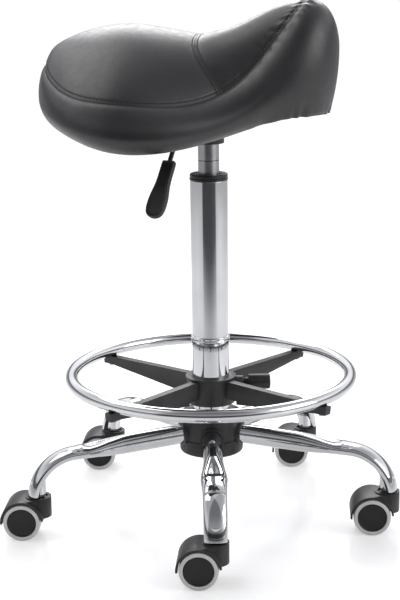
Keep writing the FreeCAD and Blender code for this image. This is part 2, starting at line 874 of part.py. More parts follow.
# Foot ring: one chromed tube bent to a circle and butt-welded.
ring_skin = doc.addObject("Part::Torus", "RingSkin")
bind(ring_skin, Radius1="Sizes.ring_reach", Radius2="Sizes.ring_tube_radius")
ring_inside = doc.addObject("Part::Torus", "RingInside")
bind(ring_inside, Radius1="Sizes.ring_reach", Radius2="Sizes.ring_tube_radius - Sizes.ring_tube_wall")
foot_ring = keep(cut("foot_ring", ring_skin, ring_inside), "foot_ring")
bind(foot_ring, Placement__Base__z="Sizes.ring_height")

# Ring bracket: a moulded sleeve on the riser with four blade spokes that cup the ring.
bracket = doc.addObject("PartDesign::Body", "BracketMoulding")
revolve(
    bracket,
    [
        ("bracket_bore", "bracket_foot"),
        ("bracket_radius", "bracket_foot"),
        ("bracket_radius", "bracket_top"),
        ("bracket_flange_radius", "bracket_top"),
        ("bracket_flange_radius", "flange_top"),
        ("bracket_bore", "flange_top"),
    ],
)
spoke_sketch = outline(
    sketch_on(bracket, "XZ_Plane"),
    [
        ("spoke_root", "notch_top"),
        ("spoke_notch_reach", "notch_top"),
        ("spoke_notch_reach", "spoke_root_foot"),
        ("spoke_flat_reach", "spoke_tip_foot"),
        ("tip_foot_end", "spoke_tip_foot"),
        ("spoke_tip_reach", "lip_top"),
        ("spoke_flat_reach", "spoke_tip_top"),
        ("spoke_root", "bracket_top"),
    ],
)
spoke = pad(bracket, spoke_sketch, "spoke_width", both=True)


about_axis(bracket, spoke, 4)
doc.recompute()
ring_seat = doc.addObject("Part::Torus", "RingSeat")
bind(ring_seat, Radius1="Sizes.ring_reach", Radius2="Sizes.ring_tube_radius")
bind(ring_seat, Placement__Base__z="Sizes.ring_height")
moulding = cut("Moulding", bracket, ring_seat)
moulding.Placement = turn(size("spoke_turn"))


def outward_bar(radius, start, end, name):
    """A round bar lying along the clamp's axis, from expressions."""
    bar = doc.addObject("Part::Cylinder", name)
    lie = FreeCAD.Rotation(Vector(0, 1, 0), 90)
    facing = FreeCAD.Rotation(Z_AXIS, size("clamp_direction"))
    bar.Placement = FreeCAD.Placement(Vector(0, 0, 0), facing * lie)
    bind(bar, Radius=radius, Height=f"{end} - {start}")
    bind(bar, Placement__Base__x=f"{start} * cos(Sizes.clamp_direction)")
    bind(bar, Placement__Base__y=f"{start} * sin(Sizes.clamp_direction)")
    bind(bar, Placement__Base__z="Sizes.clamp_height")
    return bar


clamp_boss = outward_bar("Sizes.boss_radius", "Sizes.spoke_root", "Sizes.boss_reach", "ClampBoss")
stud_room = outward_bar("Sizes.stud_radius + Sizes.running_gap", "0", "Sizes.boss_reach + 1", "StudRoom")
sleeve_room = cylinder("Sizes.bracket_bore", "Sizes.flange_top", "0", "SleeveRoom")
screw_rooms = []
ring_screws = []
for number in range(4):
    placement = turn(size("spoke_turn") + 90 * number, Vector(size("ring_reach"), 0, 0))
    screw_room = cylinder("Sizes.screw_radius", "Sizes.ring_height", "0", "ScrewRoom")
    shank = cylinder(
        "Sizes.screw_radius", "Sizes.ring_underside - Sizes.spoke_tip_foot", "Sizes.spoke_tip_foot", "Shank"
    )
    head = cylinder(
        "Sizes.screw_head_radius",
        "Sizes.screw_head_depth",
        "Sizes.spoke_tip_foot - Sizes.screw_head_depth",
        "Head",
    )
    screw = join("RingScrew", shank, head)
    screw.Placement = placement
    screw_room.Placement = placement
    ring_screws.append(screw)
    screw_rooms.append(screw_room)
bracket_rough = join("BracketRough", moulding, clamp_boss)
ring_bracket = cut("ring_bracket", bracket_rough, join("BracketRooms", stud_room, sleeve_room, *screw_rooms))
keep(ring_bracket, "ring_bracket")
screw_set = keep(doc.addObject("Part::Compound", "ring_screws"), "ring_screws")
screw_set.Links = ring_screws

# Clamp: a nylon shoe that bears on the riser, and the knob whose stud pushes it.
shoe = outward_bar("Sizes.stud_radius", "Sizes.shoe_start", "Sizes.shoe_end", "clamp_shoe")
keep(shoe, "clamp_shoe")
knob = new_body("clamp_knob")
grip = revolve(
    knob,
    [
        ("zero", "shoe_end"),
        ("stud_radius", "shoe_end"),
        ("stud_radius", "knob_neck_reach"),
        ("knob_neck_radius", "knob_neck_reach"),
        ("knob_neck_radius", "knob_reach"),
        ("knob_radius", "knob_reach"),
        ("knob_radius", "knob_end"),
        ("zero", "knob_end"),
    ],
)
round_edges(knob, grip, rim_at("knob_radius", "knob_end"), "knob_bevel", "Chamfer")
facing = FreeCAD.Rotation(Z_AXIS, size("clamp_direction")) * FreeCAD.Rotation(Vector(0, 1, 0), 90)
knob.Placement = FreeCAD.Placement(Vector(0, 0, size("clamp_height")), facing)

# Seat plate: a pressed steel pan bolted under the seat board, with the tapered socket
# for the gas cylinder, a slot for the lever and two ears for the lever's pivot.


def centred_block(width, length, height, foot):
    """A box centred on the column, from expressions."""
    return block(width, length, height, (f"-({width}) / 2", f"-({length}) / 2", foot))


def along_lever(thing, reach, side, height):
    """Places an object in the lever's own upright plane, from expressions."""
    heading = "Sizes.lever_direction"
    thing.Placement = turn(size("lever_direction"))
    bind(thing, Placement__Base__x=f"({reach}) * cos({heading}) - ({side}) * sin({heading})")
    bind(thing, Placement__Base__y=f"({reach}) * sin({heading}) + ({side}) * cos({heading})")
    bind(thing, Placement__Base__z=height)


def lever_block(reach, length, side, width, foot, height):
    box = doc.addObject("Part::Box", "LeverBlock")
    bind(box, Length=length, Width=width, Height=height)
    along_lever(box, reach, side, foot)
    return box


rim = centred_block("Sizes.plate_width", "Sizes.plate_length", "Sizes.plate_thickness", "Sizes.rim_foot")
pan = centred_block("Sizes.plate_pan_width", "Sizes.plate_pan_length", "Sizes.plate_pan_depth", "Sizes.pan_floor")
pan_room = centred_block(
    "Sizes.plate_pan_width - 2 * Sizes.plate_thickness",
    "Sizes.plate_pan_length - 2 * Sizes.plate_thickness",
    "Sizes.plate_pan_depth",
    "Sizes.pan_floor_top",
)
socket = cylinder(
    "Sizes.plate_socket_radius", "Sizes.cylinder_top - Sizes.taper_foot", "Sizes.taper_foot", "Socket"
)
taper = doc.addObject("Part::Cone", "Taper")
bind(taper, Radius1="Sizes.cylinder_radius", Radius2="Sizes.taper_top_radius")
bind(taper, Height="Sizes.taper_length", Placement__Base__z="Sizes.taper_foot")
slot = lever_block(
    "Sizes.plate_pan_width / 2 - 2 * Sizes.plate_thickness",
    "Sizes.plate_pan_width / 4",
    "-Sizes.lever_slot_half_width",
    "2 * Sizes.lever_slot_half_width",
    "Sizes.pan_floor_top",
    "Sizes.rim_foot - Sizes.pan_floor_top",
)
ears = [
    lever_block(
        "Sizes.lever_pivot_reach - Sizes.pivot_ear_half_length",
        "2 * Sizes.pivot_ear_half_length",
        side,
        "Sizes.pivot_ear",
        "Sizes.pan_floor_top",
        "Sizes.rim_foot - Sizes.pan_floor_top",
    )
    for side in (
        "Sizes.lever_sleeve_half_length + Sizes.pivot_ear_gap",
        "-Sizes.lever_sleeve_half_length - Sizes.pivot_ear_gap - Sizes.pivot_ear",
    )
]


def pivot_bar(radius, half_length, name):
    """A bar along the lever's pivot axis, from expressions."""
    bar = doc.addObject("Part::Cylinder", name)
    bind(bar, Radius=radius, Height=f"2 * ({half_length})")
    along_lever(bar, "Sizes.lever_pivot_reach", half_length, "Sizes.lever_height")
    bar.Placement = FreeCAD.Placement(
        bar.Placement.Base, turn(size("lever_direction")).Rotation * FreeCAD.Rotation(Vector(1, 0, 0), 90)
    )
    return bar


ear_reach = "(Sizes.lever_sleeve_half_length + Sizes.pivot_ear_gap + Sizes.pivot_ear)"
pivot_pin = keep(pivot_bar("Sizes.pivot_radius", ear_reach, "lever_pivot_pin"), "lever_pivot_pin")
ear_holes = pivot_bar("Sizes.pivot_radius", ear_reach, "EarHoles")
bolt_rooms = []
bolts = []
tee_nuts = []
board_rooms = []
for across in (1, -1):
    for along in (1, -1):
        corner = Vector(across * size("bolt_across"), along * size("bolt_along"), 0)
        head_foot = "Sizes.rim_foot - Sizes.bolt_head_depth"
        head = cylinder("Sizes.bolt_head_radius", "Sizes.bolt_head_depth", head_foot, "BoltHead")
        shank = cylinder("Sizes.bolt_radius", "Sizes.tee_nut_top - Sizes.rim_foot", "Sizes.rim_foot")
        bolts.append(join("SeatBolt", head, shank))
        bolt_rooms.append(cylinder("Sizes.bolt_radius", "Sizes.tee_nut_top", "0"))
        barrel = cylinder("Sizes.tee_nut_barrel", "Sizes.tee_nut_foot - Sizes.plate_top", "Sizes.plate_top")
        flange = cylinder("Sizes.tee_nut_radius", "Sizes.tee_nut_flange", "Sizes.tee_nut_foot")
        bore = cylinder("Sizes.bolt_radius", "2 * Sizes.plate_top", "0")
        tee_nuts.append(cut("TeeNut", join("TeeNutBody", barrel, flange), bore))
        barrel_room = cylinder("Sizes.tee_nut_barrel", "Sizes.tee_nut_top", "0")
        flange_room = cylinder("Sizes.tee_nut_radius", "Sizes.board_thickness", "Sizes.tee_nut_foot")
        board_rooms.append(join("BoardRoom", barrel_room, flange_room))
        for fitting in (bolts[-1], bolt_rooms[-1], tee_nuts[-1], board_rooms[-1]):
            fitting.Placement = FreeCAD.Placement(corner, FreeCAD.Rotation())
seat_plate = cut(
    "seat_plate",
    join("PlateBody", cut("PanShell", join("PanMass", rim, pan), pan_room), socket, *ears),
    join("PlateRooms", taper, slot, ear_holes, *bolt_rooms),
)
keep(seat_plate, "seat_plate")
bolt_set = keep(doc.addObject("Part::Compound", "seat_bolts"), "seat_bolts")
bolt_set.Links = bolts
tee_nut_set = keep(doc.addObject("Part::Compound", "tee_nuts"), "tee_nuts")
tee_nut_set.Links = tee_nuts

# Lever: a bent steel rod on a cross sleeve, drawn in its own upright plane, where x is
# the reach from the column and z the height. Its plastic paddle is pushed on the end.
slope = math.radians(size("lever_slope"))
bend = size("lever_bend_radius")
bend_start = size("lever_bend_reach") - bend * math.tan(slope / 2)
bend_centre = Vector(bend_start, 0, size("lever_height") - bend)
down = Vector(math.cos(slope), 0, -math.sin(slope))
rod_start = Vector(-size("lever_inner_end"), 0, size("lever_height"))
arc_start = Vector(bend_start, 0, size("lever_height"))
arc_middle = bend_centre + Vector(math.sin(slope / 2), 0, math.cos(slope / 2)) * bend
arc_end = bend_centre + Vector(math.sin(slope), 0, math.cos(slope)) * bend
paddle_start = arc_end + down * ((size("paddle_reach") - arc_end.x) / down.x)
rod_end = paddle_start + down * size("paddle_grip")
rod_path = Part.Wire(
    [
        Part.LineSegment(rod_start, arc_start).toShape(),
        Part.Arc(arc_start, arc_middle, arc_end).toShape(),
        Part.LineSegment(arc_end, rod_end).toShape(),
    ]
)
rod_section = Part.Wire([Part.Circle(rod_start, Vector(1, 0, 0), size("lever_rod_radius")).toShape()])
rod_bar = rod_path.makePipeShell([rod_section], True, False)
sleeve_axis = Vector(size("lever_pivot_reach"), -size("lever_sleeve_half_length"), size("lever_height"))
sleeve_length = 2 * size("lever_sleeve_half_length")
sleeve = Part.makeCylinder(size("lever_sleeve_radius"), sleeve_length, sleeve_axis, Vector(0, 1, 0))
pivot_bore = Part.makeCylinder(
    size("pivot_radius") + size("running_gap"), sleeve_length, sleeve_axis, Vector(0, 1, 0)
)
lever_rod = doc.addObject("Part::Feature", "lever_rod")
lever_rod.Shape = rod_bar.fuse(sleeve).cut(pivot_bore).removeSplitter()
lever_rod.Placement = turn(size("lever_direction"))
keep(lever_rod, "lever_rod")

paddle_moulding = doc.addObject("PartDesign::Body", "PaddleMoulding")
paddle_sketch = outline(
    sketch_on(paddle_moulding, "XY_Plane"),
    [
        ("zero", "neck_side"),
        ("paddle_neck", "neck_side"),
        ("paddle_spoon", "spoon_side"),
        ("paddle_length", "spoon_side"),
        ("paddle_length", "paddle_half_width"),
        ("paddle_spoon", "paddle_half_width"),
        ("paddle_neck", "paddle_neck_half_width"),
        ("zero", "paddle_neck_half_width"),
    ],
)
paddle_plate = pad(paddle_moulding, paddle_sketch, "paddle_thickness", both=True)


def upright_corner(reach):
    """A test for the paddle's corner edges at a named reach."""

    def passes(edge):
        box = edge.BoundBox
        return box.XLength < 0.01 and box.YLength < 0.01 and abs(box.XMin - size(reach)) < 0.01

    return passes


def face_rim(edge):
    """True for the rims of the paddle's front and back, away from its socket end."""
    return edge.BoundBox.ZLength < 0.01 and edge.BoundBox.XMax > size("paddle_edge_round")


end_round = round_edges(paddle_moulding, paddle_plate, upright_corner("paddle_length"), "paddle_end_round")
spoon_round = round_edges(
    paddle_moulding, end_round, upright_corner("paddle_spoon"), "paddle_shoulder_round"
)
neck_round = round_edges(paddle_moulding, spoon_round, upright_corner("paddle_neck"), "paddle_shoulder_round")
round_edges(paddle_moulding, neck_round, face_rim, "paddle_edge_round")
doc.recompute()
grip_room = Part.makeCylinder(
    size("lever_rod_radius"), size("paddle_grip"), Vector(0, 0, 0), Vector(1, 0, 0)
)
lever_paddle = doc.addObject("Part::Feature", "lever_paddle")
lever_paddle.Shape = paddle_moulding.Shape.cut(grip_room)
tip_down = FreeCAD.Placement(paddle_start, FreeCAD.Rotation(Vector(0, 1, 0), size("lever_slope")))
lever_paddle.Placement = turn(size("lever_direction")) * tip_down
keep(lever_paddle, "lever_paddle")

# Seat: rings of one smooth family bound the cushion. Each ring is an oval about the seat's
# long axis; its angle runs from the front tip, round one side to the back, and home again.
RING_POINTS = 16
BAND_SHARES = (0.3, 0.62, 0.86)
TOP_SHARES = (0.88, 0.55, 0.25)
UNDER_SHARES = (0.8, 0.45)
MIDDLE = size("seat_middle")
CENTRE = (size("seat_front") + size("seat_back")) / 2
HALF_LENGTH = (size("seat_front") - size("seat_back")) / 2


def station_value(quantity, along):
    """The smooth curve through a quantity's stations; along is 1 at the tip, -1 at the back."""
    last = len(CUSHION[quantity]) - 1
    places = [math.cos(math.pi * number / last) for number in range(last + 1)]
    total = 0
    for number, place in enumerate(places):
        weight = 1
        for other in places[:number] + places[number + 1 :]:
            weight *= (along - other) / (place - other)
        total += weight * size(f"{quantity}_{number}")
    return total


def level_at(quantity, along):
    """The height of the seam or the lower edge over the floor."""
    return size("board_under") + station_value(quantity, along)


def seam_point(angle):
    """Where the top panel meets the side band, in plan."""
    along = math.cos(angle)
    return Vector(CENTRE + HALF_LENGTH * along, station_value("half_width", along) * math.sin(angle), 0)


def outward(angle):
    """The seam's outward direction in plan."""
    run = seam_point(angle + 0.01) - seam_point(angle - 0.01)
    return Vector(run.y, -run.x, 0).normalize()


def edge_point(angle):
    """The cushion's lower edge, in plan."""
    return seam_point(angle) + outward(angle) * station_value("edge_flare", math.cos(angle))


def closed_ring(place):
    """A smooth closed curve through a function's points: x forward, y sideways, z up."""
    angles = [2 * math.pi * number / RING_POINTS for number in range(RING_POINTS)]
    points = [place(angle) for angle in angles]
    curve = Part.BSplineCurve()
    curve.interpolate(Points=[Vector(-at.y, -at.x, at.z) for at in points], PeriodicFlag=True)
    return Part.Wire([curve.toShape()])


def band_ring(share, inset):
    """A ring of the side band: share 0 is the lower edge, 1 the seam."""

    def place(angle):
        along = math.cos(angle)
        widest = station_value("widest_share", along)
        bulge = station_value("side_bulge", along)
        flare = station_value("edge_flare", along)
        if share > widest:
            rise = (share - widest) / (1 - widest)
            offset = bulge * (1 - rise**2) ** station_value("roundness", along)
        else:
            fall = (widest - share) / widest
            offset = flare + (bulge - flare) * (1 - fall**2)
        lower = level_at("edge_height", along)
        height = lower + (level_at("seam_height", along) - lower) * share
        return seam_point(angle) + outward(angle) * (offset - inset) + Z_AXIS * height

    return closed_ring(place)


def crown_height(spot):
    """Height of the top panel over a point of the plan."""
    along = max(-1, min(1, (spot.x - CENTRE) / HALF_LENGTH))
    roundness = math.sqrt(1 - along**2)
    half_width = max(0.01, station_value("half_width", along) * roundness)
    across = min(1, abs(spot.y) / half_width)
    rise = roundness * station_value("crown_rise", along) * (1 - across**2)
    return level_at("seam_height", along) + rise


def top_ring(share, inset):
    """A ring of the top panel: share 1 is the seam, 0 the middle."""

    def place(angle):
        middle = Vector(MIDDLE, 0, 0)
        seam = seam_point(angle) - outward(angle) * inset
        spot = middle + (seam - middle) * share
        return spot + Z_AXIS * (crown_height(spot) - inset)

    return closed_ring(place)


def under_ring(share, inset, lift, height=None):
    """A ring of the underside: share 1 is the lower edge, 0 the middle."""

    def place(angle):
        middle = Vector(MIDDLE, 0, 0)
        reach = edge_point(angle) - middle
        part = share * (1 - inset / reach.Length)
        fall = -station_value("edge_height", math.cos(angle)) * part**4
        level = size("board_under") - fall + lift if height is None else height
        return middle + reach * part + Z_AXIS * level

    return closed_ring(place)


def skin(rings, middle_height=None):
    """The faces of a smooth skin through rings, closed over the middle if a height is given."""
    if middle_height is not None:
        rings = [*rings, Part.Vertex(Vector(0, -MIDDLE, middle_height))]
    return Part.makeLoft(rings, False, False, False, 5).Faces


def cushion_form(inset):
    """The whole upholstered form, drawn in by an inset."""
    seam = band_ring(1, inset)
    edge = under_ring(1, inset, inset)
    faces = skin([edge, *[band_ring(share, inset) for share in BAND_SHARES], seam])
    peak = crown_height(Vector(MIDDLE, 0, 0)) - inset
    faces += skin([seam, *[top_ring(share, inset) for share in TOP_SHARES]], peak)
    floor = size("board_under") + inset
    faces += skin([edge, *[under_ring(share, inset, inset) for share in UNDER_SHARES]], floor)
    return closed_solid(faces)


doc.recompute()
inner_form = cushion_form(size("cover_thickness"))
LOW = size("plate_top") / 2

# Seat board: moulded plywood, milled flat over the seat plate and bored for the tee nuts.
board_inset = size("cover_thickness") + size("board_edge_inset")
board_lift = size("cover_thickness") + size("board_thickness")
board_low_ring = under_ring(1, board_inset, 0, LOW)
board_top_rings = [under_ring(share, board_inset, board_lift) for share in (1, *UNDER_SHARES)]
board_faces = [Part.Face(board_low_ring)]
board_faces += Part.makeLoft([board_low_ring, board_top_rings[0]], False, True).Faces
board_faces += skin(board_top_rings, size("board_under") + board_lift)
board_blank = closed_solid(board_faces)
flat_width = size("plate_width") + 2 * size("plate_seat_gap")
flat_length = size("plate_length") + 2 * size("plate_seat_gap")
plate_seat = Part.makeBox(
    flat_width, flat_length, size("plate_top"), Vector(-flat_width / 2, -flat_length / 2, 0)
)
board_cuts = [plate_seat, *[room.Shape for room in board_rooms]]
seat_board = doc.addObject("Part::Feature", "seat_board")
seat_board.Shape = inner_form.common(board_blank).cut(board_cuts)
keep(seat_board, "seat_board")

# Seat foam: moulded polyurethane that sits on the board and wraps its edge.
seat_foam = doc.addObject("Part::Feature", "seat_foam")
seat_foam.Shape = inner_form.cut(board_blank)
keep(seat_foam, "seat_foam")

# Seat cover: sewn leather drawn over the foam, its hem stapled under the board's edge.
hem_opening = Part.Face(under_ring(1, size("hem_width"), 0, LOW))
opening_height = size("board_under") + 3 * size("cover_thickness") - LOW
seat_cover = doc.addObject("Part::Feature", "seat_cover")
seat_cover.Shape = cushion_form(0).cut([inner_form, hem_opening.extrude(Z_AXIS * opening_height)])
keep(seat_cover, "seat_cover")

doc.recompute()
for item in doc.Objects:
    if "Invalid" in item.State or "Error" in item.State:
        raise RuntimeError(f"{item.Label} could not be built: {item.State}")
for name, node in nodes.items():
    shape = node.Shape
    if shape.isNull() or not shape.isValid() or shape.Volume <= 0:
        raise RuntimeError(f"{name} has no sound shape")
for name, node in nodes.items():
    node.Shape.exportStep(f"parts/{name}.step")
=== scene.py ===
import json
import math

import bmesh
import bpy
import numpy as np
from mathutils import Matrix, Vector
from mathutils.bvhtree import BVHTree


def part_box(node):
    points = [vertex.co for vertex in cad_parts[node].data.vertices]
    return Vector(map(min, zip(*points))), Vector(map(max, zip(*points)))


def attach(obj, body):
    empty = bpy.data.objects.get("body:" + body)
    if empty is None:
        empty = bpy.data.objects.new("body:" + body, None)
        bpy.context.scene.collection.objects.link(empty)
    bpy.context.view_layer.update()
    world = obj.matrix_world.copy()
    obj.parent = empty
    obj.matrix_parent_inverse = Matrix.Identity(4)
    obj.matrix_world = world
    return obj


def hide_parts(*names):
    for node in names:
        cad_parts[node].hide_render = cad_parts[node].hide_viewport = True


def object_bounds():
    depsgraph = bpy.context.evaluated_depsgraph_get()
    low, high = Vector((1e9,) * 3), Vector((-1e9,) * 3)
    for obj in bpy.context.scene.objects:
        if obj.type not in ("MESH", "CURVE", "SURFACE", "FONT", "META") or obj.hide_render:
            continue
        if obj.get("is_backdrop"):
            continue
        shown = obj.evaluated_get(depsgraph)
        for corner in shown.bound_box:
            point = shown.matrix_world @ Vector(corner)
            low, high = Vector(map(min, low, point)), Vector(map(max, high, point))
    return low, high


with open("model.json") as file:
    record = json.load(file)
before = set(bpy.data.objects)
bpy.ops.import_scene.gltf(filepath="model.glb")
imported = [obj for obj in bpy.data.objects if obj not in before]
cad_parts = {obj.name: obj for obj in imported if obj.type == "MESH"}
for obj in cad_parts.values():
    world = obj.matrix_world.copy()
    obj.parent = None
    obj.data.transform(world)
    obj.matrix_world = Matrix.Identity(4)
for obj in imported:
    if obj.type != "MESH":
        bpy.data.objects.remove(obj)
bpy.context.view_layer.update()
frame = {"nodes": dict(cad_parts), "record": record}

NODES = frame["nodes"]
MM = 0.001


# Studio: the room that the chrome and the leather mirror. Its side walls are grey, the end behind
# the camera is dark, the wall opposite is brighter, and a dark strip runs along the horizon.
# The seat faces -Y, and the camera stands at its side.
def linear(code):
    """A linear colour from an sRGB hex code."""
    channels = [int(code[start : start + 2], 16) / 255 for start in (1, 3, 5)]
    bent = [c / 12.92 if c <= 0.04045 else ((c + 0.055) / 1.055) ** 2.4 for c in channels]
    return (*bent, 1.0)


def add_node(tree, kind, links=(), **settings):
    """Adds a node with its settings; links are (source socket, input name)."""
    node = tree.nodes.new(kind)
    for name, value in settings.items():
        setattr(node, name, value)
    for source, name in links:
        tree.links.new(source, node.inputs[name])
    return node


def maths(tree, operation, first, second=0.0, third=None):
    """A maths node on sockets or plain numbers; gives its result socket."""
    node = tree.nodes.new("ShaderNodeMath")
    node.operation = operation
    for index, value in enumerate((first, second, third)):
        if value is None:
            continue
        if isinstance(value, (int, float)):
            node.inputs[index].default_value = value
        else:
            tree.links.new(value, node.inputs[index])
    return node.outputs[0]


def step_up(tree, value, low, high, to_low=0.0, to_high=1.0):
    """A smooth step of a value between two limits."""
    node = tree.nodes.new("ShaderNodeMapRange")
    node.interpolation_type = "SMOOTHSTEP"
    tree.links.new(value, node.inputs["Value"])
    limits = {"From Min": low, "From Max": high, "To Min": to_low, "To Max": to_high}
    for name, number in limits.items():
        node.inputs[name].default_value = number
    return node.outputs["Result"]


TO_CAMERA = Vector((-0.981, -0.194, 0.0))
scene = bpy.context.scene
scene.view_settings.view_transform = "Standard"
world = bpy.data.worlds.new("Studio")
scene.world = world
world.use_nodes = True
tree = world.node_tree
tree.nodes.clear()
coordinates = add_node(tree, "ShaderNodeTexCoord")
direction = add_node(tree, "ShaderNodeSeparateXYZ", [(coordinates.outputs["Generated"], "Vector")])
height = direction.outputs["Z"]
level_part = maths(tree, "MULTIPLY_ADD", maths(tree, "MULTIPLY", height, height), -1.0, 1.0001)
facing = maths(tree, "MULTIPLY", direction.outputs["X"], TO_CAMERA.x)
facing = maths(tree, "MULTIPLY_ADD", direction.outputs["Y"], TO_CAMERA.y, facing)
facing = maths(tree, "DIVIDE", facing, maths(tree, "SQRT", level_part))
# Brightness of the walls, and what the front side, the upper walls and the far wall add to it.
WALL, CAMERA_END, FRONT_EXTRA, UPPER_EXTRA, BACK_EXTRA = 0.58, 0.08, 0.32, 0.22, 0.45
STRIP_DEPTH, CEILING = 0.8, 0.55
wall = step_up(tree, facing, 0.66, 0.82, WALL, CAMERA_END)
front_side = step_up(tree, direction.outputs["Y"], -0.9, -0.3, FRONT_EXTRA, 0.0)
wall = maths(tree, "ADD", wall, front_side)
strip_foot = step_up(tree, height, 0.0, 0.05, 0.0, STRIP_DEPTH)
strip = maths(tree, "MULTIPLY", strip_foot, step_up(tree, height, 0.16, 0.26, 1.0, 0.0))
wall = maths(tree, "ADD", wall, step_up(tree, height, 0.18, 0.4, 0.0, UPPER_EXTRA))
wall = maths(tree, "ADD", wall, step_up(tree, facing, -0.98, -0.6, BACK_EXTRA, 0.1))
wall = maths(tree, "MULTIPLY", wall, maths(tree, "SUBTRACT", 1.0, strip))
wall = maths(tree, "MULTIPLY", wall, step_up(tree, height, 0.35, 0.85, 1.0, CEILING))
shade = add_node(tree, "ShaderNodeBackground", [(wall, "Strength")])
shade.inputs["Color"].default_value = linear("#fbfbff")
white = add_node(tree, "ShaderNodeBackground")
white.inputs["Color"].default_value = linear("#ffffff")
light_path = add_node(tree, "ShaderNodeLightPath")
blend = add_node(tree, "ShaderNodeMixShader", [(light_path.outputs["Is Camera Ray"], "Fac")])
tree.links.new(shade.outputs[0], blend.inputs[1])
tree.links.new(white.outputs[0], blend.inputs[2])
add_node(tree, "ShaderNodeOutputWorld", [(blend.outputs[0], "Surface")])


def soft_light(name, place, aim, width, depth, power, shows=False):
    """A soft box aimed at a point; one that shows is mirrored by shiny pieces."""
    light = bpy.data.lights.new(name, "AREA")
    light.shape = "RECTANGLE"
    light.size = width
    light.size_y = depth
    light.energy = power
    holder = bpy.data.objects.new(name, light)
    holder.location = place
    holder.rotation_euler = (Vector(aim) - Vector(place)).to_track_quat("-Z", "Y").to_euler()
    holder.visible_glossy = shows
    scene.collection.objects.link(holder)


soft_light("overhead", (0.35, 1.05, 2.1), (0, 0, 0.45), 1.4, 1.4, 10.5, True)
soft_light("behind", (1.7, 0.25, 1.5), (0, 0, 0.6), 1.5, 0.8, 17, True)
soft_light("right_side", (-0.35, -2.2, 1.3), (0, 0, 0.5), 1.4, 1.6, 15, True)
soft_light("left_side", (-0.7, 1.9, 1.6), (0, 0, 0.45), 1.6, 1.6, 12)

camera_data = bpy.data.cameras.new("photo_view")
camera_data.lens = 95.98
camera = bpy.data.objects.new("photo_view", camera_data)
camera.location = (-2.06837, -0.40580, 0.82066)
camera.rotation_euler = [math.radians(angle) for angle in (76.2380, 0.6712, -78.6944)]
scene.collection.objects.link(camera)
scene.camera = camera


def new_material(name):
    """An empty node material with its shader; gives (material, tree, shader)."""
    material = bpy.data.materials.new(name)
    material.use_nodes = True
    shader = material.node_tree.nodes["Principled BSDF"]
    return material, material.node_tree, shader


def new_mesh(name, points, faces, material):
    """A mesh object with its faces turned outwards."""
    mesh = bpy.data.meshes.new(name)
    mesh.from_pydata([tuple(point) for point in points], [], faces)
    mesh.validate()
    form = bmesh.new()
    form.from_mesh(mesh)
    bmesh.ops.recalc_face_normals(form, faces=form.faces)
    form.to_mesh(mesh)
    form.free()
    mesh.materials.append(material)
    for polygon in mesh.polygons:
        polygon.use_smooth = True
    piece = bpy.data.objects.new(name, mesh)
    scene.collection.objects.link(piece)
    return piece


# Floor: a pale, softly polished sheet. It darkens towards the camera in what shiny pieces mirror,
# as that end of the room is unlit. It glows a little, so that it is near white but keeps shadows.
floor_material, tree, shader = new_material("studio_floor")
seen = add_node(tree, "ShaderNodeLightPath").outputs["Is Camera Ray"]
place = add_node(tree, "ShaderNodeNewGeometry").outputs["Position"]
place = add_node(tree, "ShaderNodeSeparateXYZ", [(place, "Vector")])
reach = maths(tree, "MULTIPLY", place.outputs["X"], TO_CAMERA.x)
reach = maths(tree, "MULTIPLY_ADD", place.outputs["Y"], TO_CAMERA.y, reach)
aside = maths(tree, "MULTIPLY", place.outputs["X"], -TO_CAMERA.y)
aside = maths(tree, "ABSOLUTE", maths(tree, "MULTIPLY_ADD", place.outputs["Y"], TO_CAMERA.x, aside))
spread = maths(tree, "DIVIDE", aside, maths(tree, "MAXIMUM", reach, 0.01))
sector = step_up(tree, spread, 0.75, 1.0, 1.0, 0.0)
DARK_FROM, DARK_TO = 0.6, 1.75
unlit = maths(tree, "MULTIPLY", sector, step_up(tree, reach, DARK_FROM, DARK_TO))
unlit = maths(tree, "MULTIPLY", unlit, maths(tree, "SUBTRACT", 1.0, seen))
paint = add_node(tree, "ShaderNodeMix", [(unlit, "Factor")], data_type="RGBA")
paint.inputs["A"].default_value = linear("#f1f1f1")
paint.inputs["B"].default_value = linear("#565656")
tree.links.new(paint.outputs["Result"], shader.inputs["Base Color"])
shader.inputs["Specular IOR Level"].default_value = 0.30
shader.inputs["Emission Color"].default_value = (1, 1, 1, 1)
GLOW_FAR, GLOW_NEAR, GLOW_ALL = 0.62, 0.27, 0.02
lift = maths(tree, "MULTIPLY", seen, step_up(tree, reach, -2.6, 0.6, GLOW_FAR, GLOW_NEAR))
lift = maths(tree, "MULTIPLY_ADD", maths(tree, "SUBTRACT", 1.0, unlit), GLOW_ALL, lift)
tree.links.new(lift, shader.inputs["Emission Strength"])
mottle = add_node(tree, "ShaderNodeTexNoise")
mottle.inputs["Scale"].default_value = 3.0
polish = step_up(tree, mottle.outputs["Fac"], 0.2, 0.8, 0.13, 0.17)
tree.links.new(polish, shader.inputs["Roughness"])
FLOOR_HALF = 30
corners = [(-FLOOR_HALF, -FLOOR_HALF, 0), (FLOOR_HALF, -FLOOR_HALF, 0)]
corners += [(FLOOR_HALF, FLOOR_HALF, 0), (-FLOOR_HALF, FLOOR_HALF, 0)]
floor = new_mesh("floor", corners, [(0, 1, 2, 3)], floor_material)
floor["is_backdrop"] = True


# Finishes: each material's pattern is scaled from real sizes, in object coordinates.
def pattern(tree, kind, size_mm, **inputs):
    """A noise-like texture whose features are about that many millimetres."""
    place = add_node(tree, "ShaderNodeTexCoord").outputs["Object"]
    node = add_node(tree, kind, [(place, "Vector")])
    node.inputs["Scale"].default_value = 1.0 / (size_mm * MM)
    for name, value in inputs.items():
        node.inputs[name].default_value = value
    return node


